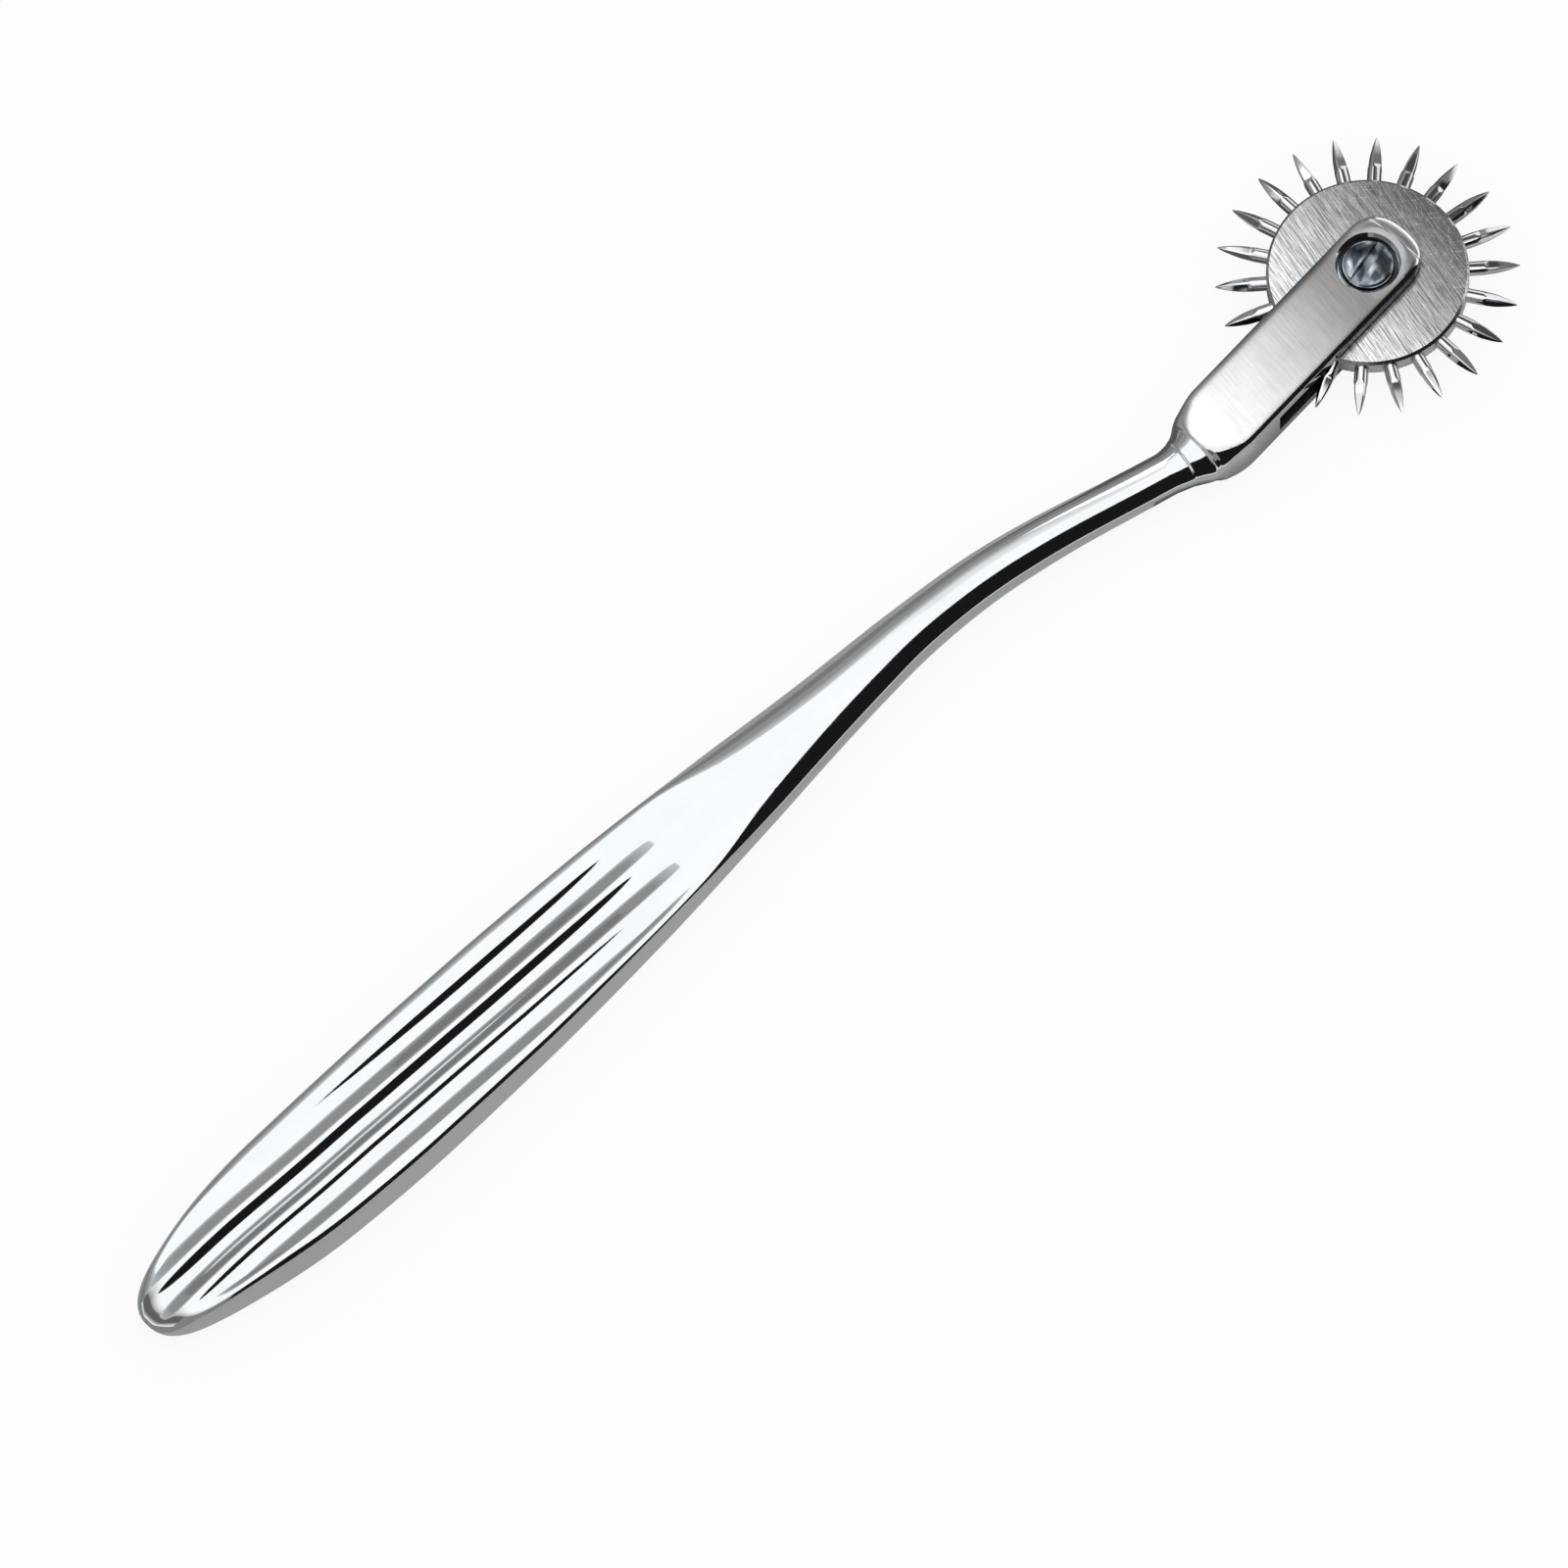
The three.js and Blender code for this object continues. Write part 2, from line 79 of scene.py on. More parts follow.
# %% Camera
IMAGE_WIDTH = 1600
SENSOR_WIDTH = 36
LENS = 1200
PIXELS_PER_MM = 9.85
VIEW_TURN = math.radians(45)
VIEW_HEIGHT = 0.915
CLIP_SPAN = 100
AIM_FROM_AXLE = (-83.76, 2.12, 0)

view_slope = math.sqrt(1 - VIEW_HEIGHT**2)
towards_camera = Vector((-view_slope * math.sin(VIEW_TURN), -view_slope * math.cos(VIEW_TURN), VIEW_HEIGHT))
distance = LENS / SENSOR_WIDTH * IMAGE_WIDTH / PIXELS_PER_MM * MM
camera = bpy.data.objects.new("camera", bpy.data.cameras.new("camera"))
bpy.context.scene.collection.objects.link(camera)
camera.data.lens = LENS
camera.data.sensor_width = SENSOR_WIDTH
camera.data.clip_start = distance / CLIP_SPAN
camera.data.clip_end = distance * CLIP_SPAN
camera.location = AXLE + Vector(AIM_FROM_AXLE) * MM + towards_camera * distance
camera.rotation_mode = "QUATERNION"
camera.rotation_quaternion = (-towards_camera).to_track_quat("-Z", "Y")
bpy.context.scene.camera = camera
print("camera is", round(distance, 3), "m away")

# %% [markdown]
# ## Helpers for meshes
# All shapes are worked out in millimetres about the axle, the same way the solids were, and only become
# metres when the mesh is made. Three small helpers cover everything that follows: a mesh from points, a
# turned piece, and a cut.

# %% Mesh from points
MERGE_DISTANCE = 0.0002


def make_piece(name, points, faces):
    """A closed mesh from points in mm about the axle. Points that meet are merged."""
    mesh = bpy.data.meshes.new(name)
    mesh.from_pydata([AXLE + Vector(point) * MM for point in points], [], faces)
    piece = bpy.data.objects.new(name, mesh)
    bpy.context.scene.collection.objects.link(piece)
    tidy = bmesh.new()
    tidy.from_mesh(mesh)
    bmesh.ops.remove_doubles(tidy, verts=tidy.verts, dist=MERGE_DISTANCE * MM)
    bmesh.ops.recalc_face_normals(tidy, faces=tidy.faces)
    tidy.to_mesh(mesh)
    tidy.free()
    return piece


# %% Turned piece
def turned(name, profile, sides, ring=False):
    """Turns a profile of radius and height about the axle. A ring's profile closes on itself."""
    turns = np.arange(sides) * 2 * math.pi / sides
    points = [(r * math.cos(turn), r * math.sin(turn), z) for r, z in profile for turn in turns]
    rows = len(profile)
    faces = []
    for row in range(rows if ring else rows - 1):
        here, there = row * sides, (row + 1) % rows * sides
        for i in range(sides):
            beside = (i + 1) % sides
            faces.append((here + i, here + beside, there + beside, there + i))
    return make_piece(name, points, faces)


# %% Apply modifiers, cut, and shade
def settle(piece):
    """Makes what the modifiers show into the piece's own mesh."""
    depsgraph = bpy.context.evaluated_depsgraph_get()
    settled = bpy.data.meshes.new_from_object(piece.evaluated_get(depsgraph))
    piece.modifiers.clear()
    piece.data = settled


def cut(piece, cutter, finish_index=0):
    """Cuts one closed mesh out of another. The new faces take the finish with that index."""
    for finish in piece.data.materials:
        cutter.data.materials.append(finish)
    for face in cutter.data.polygons:
        face.material_index = finish_index
    modifier = piece.modifiers.new("cut", "BOOLEAN")
    modifier.operation = "DIFFERENCE"
    modifier.solver = "EXACT"
    modifier.object = cutter
    settle(piece)
    bpy.data.objects.remove(cutter)


def shade(piece, sharp_angle):
    """Smooth shading with crisp machined edges. Large flat faces keep their own direction."""
    piece.data.shade_smooth()
    piece.data.set_sharp_from_angle(angle=math.radians(sharp_angle))
    modifier = piece.modifiers.new("crisp_flats", "WEIGHTED_NORMAL")
    modifier.keep_sharp = True
    settle(piece)
    print(piece.name, "has", len(piece.data.polygons), "faces")


# %% [markdown]
# ## Helpers for finishes
# Every finish here is a metal, so each is a Principled shader with full metallic and the usual index of
# refraction. What tells them apart is how the surface was made: polished, brushed, ground or machined. That
# is drawn with stretched noise whose scale comes from a real size in millimetres.

# %% Colours and nodes
def linear(colour):
    """An sRGB hex colour as linear light."""
    channels = [int(colour[i : i + 2], 16) / 255 for i in (1, 3, 5)]
    return [c / 12.92 if c <= 0.04045 else ((c + 0.055) / 1.055) ** 2.4 for c in channels] + [1]


def add_node(tree, kind, inputs=None, **settings):
    """Adds a node, sets it, and fills its inputs with values or with links from other nodes."""
    node = tree.nodes.new(kind)
    for name, value in settings.items():
        setattr(node, name, value)
    for name, value in (inputs or {}).items():
        if isinstance(value, bpy.types.NodeSocket):
            tree.links.new(value, node.inputs[name])
        else:
            node.inputs[name].default_value = value
    return node


def new_finish(name):
    """A material with only an output node."""
    finish = bpy.data.materials.new(name)
    finish.use_nodes = True
    finish.node_tree.nodes.clear()
    return finish, finish.node_tree


# %% Noise with a real size
def grain(tree, size, turn=0, detail=2, seed=0):
    """Noise whose grains measure size in mm along, across and through, turned about the axle's direction."""
    place = add_node(tree, "ShaderNodeTexCoord").outputs["Object"]
    aligned = add_node(tree, "ShaderNodeVectorRotate", {"Vector": place, "Angle": -math.radians(turn)},
                       rotation_type="Z_AXIS")
    per_grain = [1 / (length * MM) for length in size]
    scaled = add_node(tree, "ShaderNodeVectorMath", {0: aligned.outputs[0], 1: per_grain},
                      operation="MULTIPLY")
    shifted = add_node(tree, "ShaderNodeVectorMath", {0: scaled.outputs[0], 1: (seed, seed, seed)},
                       operation="ADD")
    noise = add_node(tree, "ShaderNodeTexNoise",
                     {"Vector": shifted.outputs[0], "Scale": 1, "Detail": detail, "Roughness": 0.5})
    return noise.outputs["Fac"]


def spread(tree, value, low, high, to_low, to_high):
    """Maps a range of a pattern onto another range, and holds it there."""
    inputs = {"Value": value, "From Min": low, "From Max": high, "To Min": to_low, "To Max": to_high}
    return add_node(tree, "ShaderNodeMapRange", inputs).outputs["Result"]


def total(tree, values):
    """Adds patterns together."""
    result = values[0]
    for value in values[1:]:
        result = add_node(tree, "ShaderNodeMath", {0: result, 1: value}, operation="ADD").outputs[0]
    return result


# %% A metal surface
def finish_metal(finish, colours, mottle, roughness, height, depth):
    """A full metal: a colour that varies a little, a roughness that varies, and marks so many mm deep."""
    tree = finish.node_tree
    colour = add_node(tree, "ShaderNodeMix", {0: mottle, 6: linear(colours[0]), 7: linear(colours[1])},
                      data_type="RGBA")
    bump = add_node(tree, "ShaderNodeBump", {"Height": height, "Distance": depth * MM})
    metal = add_node(tree, "ShaderNodeBsdfPrincipled", {
        "Base Color": colour.outputs[2],
        "Metallic": 1,
        "Roughness": roughness,
        "Normal": bump.outputs["Normal"],
    })
    add_node(tree, "ShaderNodeOutputMaterial", {"Surface": metal.outputs["BSDF"]})
    print("made the finish", finish.name)


# %% [markdown]
# ## Polished chrome plating
# The forging is chromium plated over polished steel. The plating is only thousandths of a millimetre thick,
# so the eye sees the polish under it: a mirror with faint lengthwise ripples from the polishing wheel,
# hardly rougher than glass. The ripples are about 9 mm long and a micron or two deep. The wheel's hairlines
# are finer than 0.02 mm and are drawn 0.16 mm wide, so that they just show in the highlights.

# %% Finish: polished chrome plating
CHROME = ("#dde0e2", "#d3d7da")
POLISH_RIPPLE = (9, 2.2, 2.2)
POLISH_HAIRLINE = (14, 0.16, 0.16)
CHROME_ROUGHNESS = (0.35, 0.75, 0.035, 0.1)
HAIRLINE_HEIGHT = (0.3, 0.7, 0, 0.015)
POLISH_DEPTH = 0.004
polished_chrome, tree = new_finish("chromium_plating_polished")
ripple = grain(tree, POLISH_RIPPLE, seed=3)
hairline = grain(tree, POLISH_HAIRLINE, seed=7)
finish_metal(
    polished_chrome, CHROME, mottle=ripple,
    roughness=spread(tree, hairline, *CHROME_ROUGHNESS),
    height=total(tree, [ripple, spread(tree, hairline, *HAIRLINE_HEIGHT)]),
    depth=POLISH_DEPTH,
)

# %% [markdown]
# ## Satin chrome on the fork's flats
# The two flats of the fork were faced on a fine belt before plating, so they are silky instead of bright.
# Belt grit leaves scratches about 0.02 mm wide across the fork. They are drawn 0.12 mm wide, because finer
# ones don't show. Painted shade darkens the satin's colour slowly from the shoulder towards the screw, where
# the sheen fades. Beyond the screw it is lighter again.

# %% Finish: satin chrome plating
# The second satin colour is the dark end of the painted shade towards the screw
SATIN = ("#d9dadb", "#7c7a78")
# Painted shade: the satin darkens from the shoulder towards the screw and lightens again beyond it
PAINTED_SHADE_RAMP, PAINTED_SHADE_LIFT = (-27, -5, 0, 0.85), (-3, 4, 0, -0.95)
BELT_LINE = (3.5, 0.12, 0.12)
BELT_TURN = 84
SATIN_CLOUD = (4, 3, 3)
SCRATCH = (2.4, 0.07, 0.07)
SATIN_SCRATCH, SATIN_SCRATCH_TURNS = (0.74, 0.8, 0, 0.6), (35, 118)
SATIN_MOTTLE, SATIN_ROUGHNESS, SATIN_DEPTH = (0.3, 0.7, -0.06, 0.06), (0.6, 1.4, 0.26, 0.38), 0.0035
satin_chrome, tree = new_finish("chromium_plating_satin_and_shade")
belt = grain(tree, BELT_LINE, turn=BELT_TURN, detail=3, seed=2)
cloud = grain(tree, SATIN_CLOUD, seed=5)
scratch = total(tree, [
    spread(tree, grain(tree, SCRATCH, turn=turn, detail=1, seed=turn), *SATIN_SCRATCH)
    for turn in SATIN_SCRATCH_TURNS
])
place = add_node(tree, "ShaderNodeTexCoord").outputs["Object"]
along = add_node(tree, "ShaderNodeSeparateXYZ", {0: place}).outputs["X"]
# Painted shade along the fork, mixed towards the second, darker satin colour
painted_shade = [spread(tree, along, AXLE.x + start * MM, AXLE.x + end * MM, low, high)
          for start, end, low, high in (PAINTED_SHADE_RAMP, PAINTED_SHADE_LIFT)]
finish_metal(
    satin_chrome, SATIN, mottle=total(tree, [*painted_shade, spread(tree, belt, *SATIN_MOTTLE)]),
    roughness=spread(tree, total(tree, [belt, cloud]), *SATIN_ROUGHNESS),
    height=total(tree, [belt, scratch]),
    depth=SATIN_DEPTH,
)

# %% [markdown]
# ## Machined steel
# The saw cut and the screw's recess were cut after the polishing and hold no polish. Cutter marks about 0.1
# mm apart and a duller metal tell them apart from the plated outside. The dark colour is painted shade in the
# narrow slot and recess, and on the strip of the fork's near side that runs beside the wheel. The marks are
# as wide as real ones.

# %% Finish: machined steel
# Machined steel, darkened as painted shade in the saw cut, the recess and the strip beside the wheel
MACHINED = ("#5c5f62", "#484b4e")
CUTTER_LINE, CUTTER_TURN = (2.5, 0.1, 0.1), 20
MACHINED_ROUGHNESS, MACHINED_DEPTH = (0.3, 0.7, 0.28, 0.42), 0.004
machined_steel_and_shade, tree = new_finish("steel_machined_and_shade")
marks = grain(tree, CUTTER_LINE, turn=CUTTER_TURN, detail=3, seed=9)
finish_metal(
    machined_steel_and_shade, MACHINED, mottle=marks,
    roughness=spread(tree, marks, *MACHINED_ROUGHNESS), height=marks, depth=MACHINED_DEPTH,
)

# %% [markdown]
# ## The forging
# Handle, neck, shoulder and fork are one drop forging. It could be modelled by hand with a subdivision
# cage, but the flutes, the round neck and the boxy fork have measured sections. So it is lofted: a section
# outline is worked out at each of a few hundred places along a bent centre line, and neighbouring outlines
# are joined. Sizes are in mm and the tables give shares, as for the solid. A mirror shows more than facets
# can, so the flutes, the steps at the shoulder and the fork's edge and end are drawn a little finer here
# than in the solid.

# %% Sizes of the forging
BUTT_TO_AXLE = 173.3
GRIP_WIDTH, GRIP_THICKNESS = 13.95, 6.54
GRIP_EDGE_WIDTH, GRIP_EDGE_RISE = 1.3, 0.6
BUTT_ZONE, GRIP_LENGTH = 36, 111
GRIP_RISE, NECK_RISE, BUTT_RISE = 4.87, 4.99, 0.63
FLUTE_DEPTH, FLUTE_PITCH = 0.82, 1.83
FLUTE_OFFSET, DRIFT_START, FLUTE_DRIFT, MOST_DRIFT = 0.15, 30, 0.0225, 0.25
NEAR_FLUTE, FAR_FLUTE = 0.72, (0.58, 0.93)
FAR_FLUTE_START, FAR_FLUTE_END = 23, 50
TAPER_DIP = 0.72
NECK_ROOT, NECK_END = 6.14 / 2, 4.66 / 2
BEND_START = 66
SHOULDER_TO_AXLE, FORK_ROOT_TO_AXLE = 31, 22.6
FORK_HALF, FACE_Z, FORK_REACH = 4.25, 3.45, 5.65
END_FULLNESS = 2.5
FORK_EDGE_WIDTH, FORK_EDGE_RISE = 1.6, 0.75
FORK_TILT = math.radians(3.6)
FORK_BLEND = 2.2
CHEEK_Z, SLOT_REACH = 1.55, 19.2
print("grip is", GRIP_WIDTH, "by", GRIP_THICKNESS, "mm, neck ends", 2 * NECK_END, "mm thick")

# %% Butt and grip, in shares
# Share along the zone, then of half width, half thickness, edge width, wall and flute depth
BUTT_SHARES = [
    (0, 0, 0, 0, 0, 0),
    (0.033, 0.38, 0.48, 1, 0.1, 0.35),
    (0.103, 0.561, 0.72, 1, 0.42, 0.75),
    (0.175, 0.659, 0.83, 1, 0.6, 0.95),
    (0.242, 0.731, 0.89, 1, 0.72, 1),
    (0.38, 0.853, 0.95, 1, 0.86, 1),
    (0.586, 0.955, 0.98, 1, 0.94, 1),
    (1, 1, 1, 1, 1, 1),
]
# Bow of the butt to the far side: share of the way along, then of its rise
BOW_SHARES = [
    (0, 0.92),
    (0.314, 1),
    (0.508, 0.62),
    (0.647, 0.29),
    (1, 0),
]

# %% Taper and neck, in shares
# Share along the taper, then of the change in half width, edge width, wall and flutes, then of the dip
# in thickness
TAPER_SHARES = [
    (0.2, 0.029, 0, 0.13, 0.03, 0.42),
    (0.333, 0.122, 0, 0.16, 0.1, 0.58),
    (0.44, 0.232, -0.1, 0.18, 0.3, 0.74),
    (0.5, 0.306, -0.2, 0.24, 0.65, 0.92),
    (0.56, 0.383, -0.3, 0.34, 1, 1.2),
    (0.6, 0.421, 0.1, 0.56, 1, 0.95),
    (0.667, 0.498, 1.05, 0.76, 1, 0.25),
    (0.764, 0.67, 1.36, 0.89, 1, 0.05),
    (0.867, 0.828, 1.32, 1, 1, 0),
    (0.95, 0.936, 1.14, 1, 1, 0),
    (1, 1, 1, 1, 1, 0),
]
# Share along the neck, then of the change in radius
NECK_SHARES = [
    (0.15, 0.22),
    (0.393, 0.49),
    (0.553, 0.66),
    (0.712, 0.85),
    (0.872, 0.96),
    (1, 1),
]

# %% Shoulder and bend, in shares
# Share along the shoulder, then of half width, half thickness, the flat's half width and the side wall
SHOULDER_SHARES = [
    (0.167, 0.11, 0.08, 0, 0),
    (0.226, 0.17, 0.13, 0, 0),
    (0.256, 0.21, 0.4, 0, 0),
    (0.321, 0.325, 0.48, 0, 0),
    (0.423, 0.56, 0.67, 0, 0),
    (0.455, 0.62, 0.73, 0, 0),
    (0.482, 0.665, 1, 0.14, 0.1),
    (0.525, 0.725, 1, 0.44, 0.3),
    (0.585, 0.785, 1, 0.65, 0.52),
    (0.645, 0.81, 1, 0.79, 0.7),
    (0.72, 0.86, 1, 0.89, 0.85),
    (0.85, 0.94, 1, 0.96, 1),
    (0.94, 0.99, 1, 0.985, 1),
    (1, 1, 1, 1, 1),
]
# Share along the bend, then of the way across
BEND_SHARES = [
    (0, 0),
    (0.194, 0.062),
    (0.31, 0.145),
    (0.427, 0.289),
    (0.543, 0.467),
    (0.65, 0.663),
    (0.766, 0.872),
    (0.854, 1.005),
    (0.9, 1.034),
    (0.95, 1.023),
    (1, 1),
]
print("tables of", len(BUTT_SHARES), len(TAPER_SHARES), len(NECK_SHARES), len(SHOULDER_SHARES), "sections")


# %% Smooth curves
def mix(start, end, share):
    """The value a share of the way from start to end."""
    return start + (end - start) * share


def eased(share):
    """A share that starts and stops gently."""
    return share * share * (3 - 2 * share)


def curve_through(points):
    """A smooth curve through given points that never overshoots them."""
    xs, ys = np.array(points, float).T
    slopes = np.diff(ys) / np.diff(xs)
    before, after = slopes[:-1], slopes[1:]
    agree = before * after > 0
    inner = np.where(agree, 2 * before * after / np.where(agree, before + after, 1), 0)
    tangents = np.concatenate([slopes[:1], inner, slopes[-1:]])

    def curve(x):
        i = np.clip(np.searchsorted(xs, x, side="right") - 1, 0, len(xs) - 2)
        width = xs[i + 1] - xs[i]
        t = np.clip((x - xs[i]) / width, 0, 1)
        ease = eased(t)
        bend = t * (1 - t) * width * ((1 - t) * tangents[i] - t * tangents[i + 1])
        return ys[i] * (1 - ease) + ys[i + 1] * ease + bend

    return curve


# %% Sections of the forging
BUTT_X = -BUTT_TO_AXLE
WIDEST_X = BUTT_X + BUTT_ZONE
NECK_X = BUTT_X + GRIP_LENGTH
SHOULDER_X, FORK_ROOT_X = -SHOULDER_TO_AXLE, -FORK_ROOT_TO_AXLE
END_CENTRE_X = FORK_REACH - FORK_HALF
HALF_WIDTH, HALF_THICKNESS = GRIP_WIDTH / 2, GRIP_THICKNESS / 2
HALF_WALL = HALF_THICKNESS - GRIP_EDGE_RISE


def from_butt(x):
    """The butt is round, so the curves are drawn over the root of the distance from its end."""
    return np.sqrt(np.maximum(np.asarray(x, float) - BUTT_X, 0) / BUTT_TO_AXLE)


def section_rows():
    """Place, half width, half thickness, half flat, half wall and flute depth at each listed section."""
    rows = []
    for along, width, thick, edge, wall, flute in BUTT_SHARES:
        half = width * HALF_WIDTH
        rows.append((BUTT_X + along * BUTT_ZONE, half, thick * HALF_THICKNESS, half - edge * GRIP_EDGE_WIDTH,
                     wall * HALF_WALL, flute * FLUTE_DEPTH))
    for along, width, edge, wall, flute, dip in TAPER_SHARES:
        half = mix(HALF_WIDTH, NECK_ROOT, width)
        rise = mix(HALF_THICKNESS, NECK_ROOT, along) - dip * TAPER_DIP
        rows.append((mix(WIDEST_X, NECK_X, along), half, rise, half - mix(GRIP_EDGE_WIDTH, NECK_ROOT, edge),
                     mix(HALF_WALL, 0, wall), mix(FLUTE_DEPTH, 0, flute)))
    for along, slim in NECK_SHARES:
        radius = mix(NECK_ROOT, NECK_END, slim)
        rows.append((mix(NECK_X, SHOULDER_X, along), radius, radius, 0, 0, 0))
    for along, width, thick, flat, wall in SHOULDER_SHARES:
        rows.append((mix(SHOULDER_X, FORK_ROOT_X, along), mix(NECK_END, FORK_HALF, width),
                     mix(NECK_END, FACE_Z, thick), flat * (FORK_HALF - FORK_EDGE_WIDTH),
                     wall * (FACE_Z - FORK_EDGE_RISE), 0))
    return np.array(rows)


rows = section_rows()
section_curves = [curve_through(np.column_stack([from_butt(rows[:, 0]), values])) for values in rows[:, 1:].T]
print(len(rows), "sections set by hand along the forging")

# %% [markdown]
# A mirror shows where the curvature jumps between two listed sections as a kink in its reflections. The
# polisher's wheel takes such kinks off the real forging. Here a moving average does: it is a few
# millimetres wide along the grip and neck, and narrows to nothing at the butt and the shoulder, whose
# shapes are meant to turn quickly.

# %% Centre line and polished-out sections
POLISH_REACH = 1.8
POLISH_FADE = 6
LEAST_REACH_SHARE = 0.001


def spine_points():
    """Places and offsets of the bent centre line, which is straight again through the fork."""
    bend_x = NECK_X - (BEND_START - (BUTT_TO_AXLE - GRIP_LENGTH))
    rise = math.tan(FORK_TILT)
    points = [(BUTT_X + along * BUTT_ZONE, GRIP_RISE + bow * BUTT_RISE) for along, bow in BOW_SHARES]
    points += [(mix(bend_x, FORK_ROOT_X, along), mix(NECK_RISE, FORK_ROOT_X * rise, across))
               for along, across in BEND_SHARES]
    straight = (FORK_ROOT_X + FORK_BLEND, -SLOT_REACH, 0, FORK_REACH)
    return points + [(x, x * rise) for x in straight]


def polished_out(x, values):
    """Averages values over neighbouring places, less and less towards the butt and the shoulder."""
    room = np.minimum(x - BUTT_X, SHOULDER_X - x)
    reach = POLISH_REACH * np.clip(room / POLISH_FADE, LEAST_REACH_SHARE, 1)
    weights = np.exp(-0.5 * ((x[:, None] - x[None, :]) / reach[:, None]) ** 2)
    weights *= np.gradient(x)[None, :]
    return weights @ values / weights.sum(axis=1, keepdims=True)


# %% Stations along the forging
BUTT_STATIONS, GRIP_STEP, SHOULDER_STEP, FORK_STATIONS, END_STATIONS = 60, 0.55, 0.05, 24, 100
butt_places = BUTT_X + BUTT_ZONE * (np.arange(BUTT_STATIONS) / BUTT_STATIONS) ** 2
long_places = np.arange(WIDEST_X, SHOULDER_X, GRIP_STEP)
shoulder_places = np.arange(SHOULDER_X, FORK_ROOT_X, SHOULDER_STEP)
fork_places = np.linspace(FORK_ROOT_X, END_CENTRE_X, FORK_STATIONS, endpoint=False)
loft_places = np.concatenate([butt_places, long_places, shoulder_places, fork_places])
curve_places = from_butt(np.minimum(loft_places, FORK_ROOT_X))
loft_values = np.column_stack([curve(curve_places) for curve in section_curves])
spine_curve = curve_through(spine_points())
spine_across = spine_curve(loft_places)[:, None]
smoothed = polished_out(loft_places, np.hstack([loft_values, spine_across]))
before_shoulder = (loft_places < SHOULDER_X)[:, None]
loft_values = np.where(before_shoulder, smoothed[:, :-1], loft_values)
spine_across = np.where(before_shoulder, smoothed[:, -1:], spine_across)[:, 0]
print(len(loft_places), "stations before the fork's round end")

# %% [markdown]
# ## One section
# A grip section has four ridges with three hollows between them on each face, rounded edges and a plain
# side. The same outline, with its flat, wall or flutes shrunk to nothing, also gives the round neck and the
# boxy fork, so the number of points never changes and the loft has no seams. Down the grip the ridges drift
# a little to the near side.

# %% Flutes across the grip
VALLEY_SHARE = 0.7
SLOPE_START, SLOPE_END = 0.35, 0.8
SLOPE = 2 / (1 + SLOPE_END - SLOPE_START)
FLUTES_TO_EDGE = 3
FLUTE_STEPS, CORNER_STEPS = 15, 11
PLAIN_FLAT, BOXY_FLAT = 0.1, 0.5
FACE_STEPS = FLUTES_TO_EDGE * FLUTE_STEPS
QUARTER_STEPS = FACE_STEPS + CORNER_STEPS + 1
TINY = 1e-6


def flute_shape(distance, outer, far_side):
    """How deep the flutes are at a distance from the middle one: 0 on a ridge, 1 or outer in a hollow.

    Slopes that face the near side are short and steep. Those that face the far side are long and even."""
    steps = np.abs(distance) / FLUTE_PITCH
    lower = np.floor(steps)
    out = np.where(lower % 2 == 0, steps - lower, 1 - (steps - lower))
    steep = np.where(out < VALLEY_SHARE, 1 - out**2 / VALLEY_SHARE, (1 - out) ** 2 / (1 - VALLEY_SHARE))
    hollow = 1 - SLOPE * out**2 / (2 * SLOPE_START)
    ridge = SLOPE * (1 - out) ** 2 / (2 * (1 - SLOPE_END))
    straight = 1 - SLOPE * (out - SLOPE_START / 2)
    even = np.select([out < SLOPE_START, out < SLOPE_END], [hollow, straight], ridge)
    depth = np.where((lower % 2 == 0) == far_side, steep, even) * np.where(lower > 0, outer, 1)
    return np.where(lower < FLUTES_TO_EDGE, depth, 0)


# %% Quarter of a section
def quarter_outline(half, rise, flat, wall, flute, drift, outer, far_side):
    """Points from the top centre to the middle of the side. Face and side meet in a quarter of an ellipse."""
    flat = max(flat, 0)
    corner_width, corner_rise = half - flat, rise - wall
    corner_length = (corner_width + corner_rise) / 2 * math.pi / 2
    girth = flat + corner_length + wall
    flat_share = flat / half if half > 0 else 1
    boxiness = eased(np.clip((flat_share - PLAIN_FLAT) / (BOXY_FLAT - PLAIN_FLAT), 0, 1))
    steps = np.arange(QUARTER_STEPS + 1)
    by_form = np.interp(steps, [0, FACE_STEPS, FACE_STEPS + CORNER_STEPS, QUARTER_STEPS],
                        [0, flat, flat + corner_length, girth])
    length = mix(girth * steps / QUARTER_STEPS, by_form, boxiness)
    turn = math.pi / 2 * np.clip((length - flat) / max(corner_length, TINY), 0, 1)
    moved = drift * (1 - np.minimum(length / max(flat, TINY), 1) ** 2)
    across = np.minimum(length, flat) + corner_width * np.sin(turn) + moved
    depth = flute * (1 - np.sin(turn)) * flute_shape(across - drift, outer, far_side)
    up = np.where(length > flat + corner_length, girth - length, wall + corner_rise * np.cos(turn) - depth)
    return np.column_stack([across, up])


# %% Whole sections, and the loft through them
def whole_outline(place, values):
    """The section all round, from the top centre over the far side."""
    along = place - BUTT_X
    drift = FLUTE_OFFSET + FLUTE_DRIFT * max(along - DRIFT_START, 0)
    drift = min(drift, MOST_DRIFT * max(values[2], 0))
    far_grown = np.clip((along - FAR_FLUTE_START) / (FAR_FLUTE_END - FAR_FLUTE_START), 0, 1)
    far_flute = mix(*FAR_FLUTE, eased(far_grown))
    far = quarter_outline(*values, -drift, far_flute, far_side=True)
    near = quarter_outline(*values, drift, NEAR_FLUTE, far_side=False)
    down, over = (1, -1), (-1, 1)
    return np.vstack([
        far, far[-2:0:-1] * down, far[:1] * down, -near[1:-1], near[-1:] * over, near[-2:0:-1] * over,
    ])


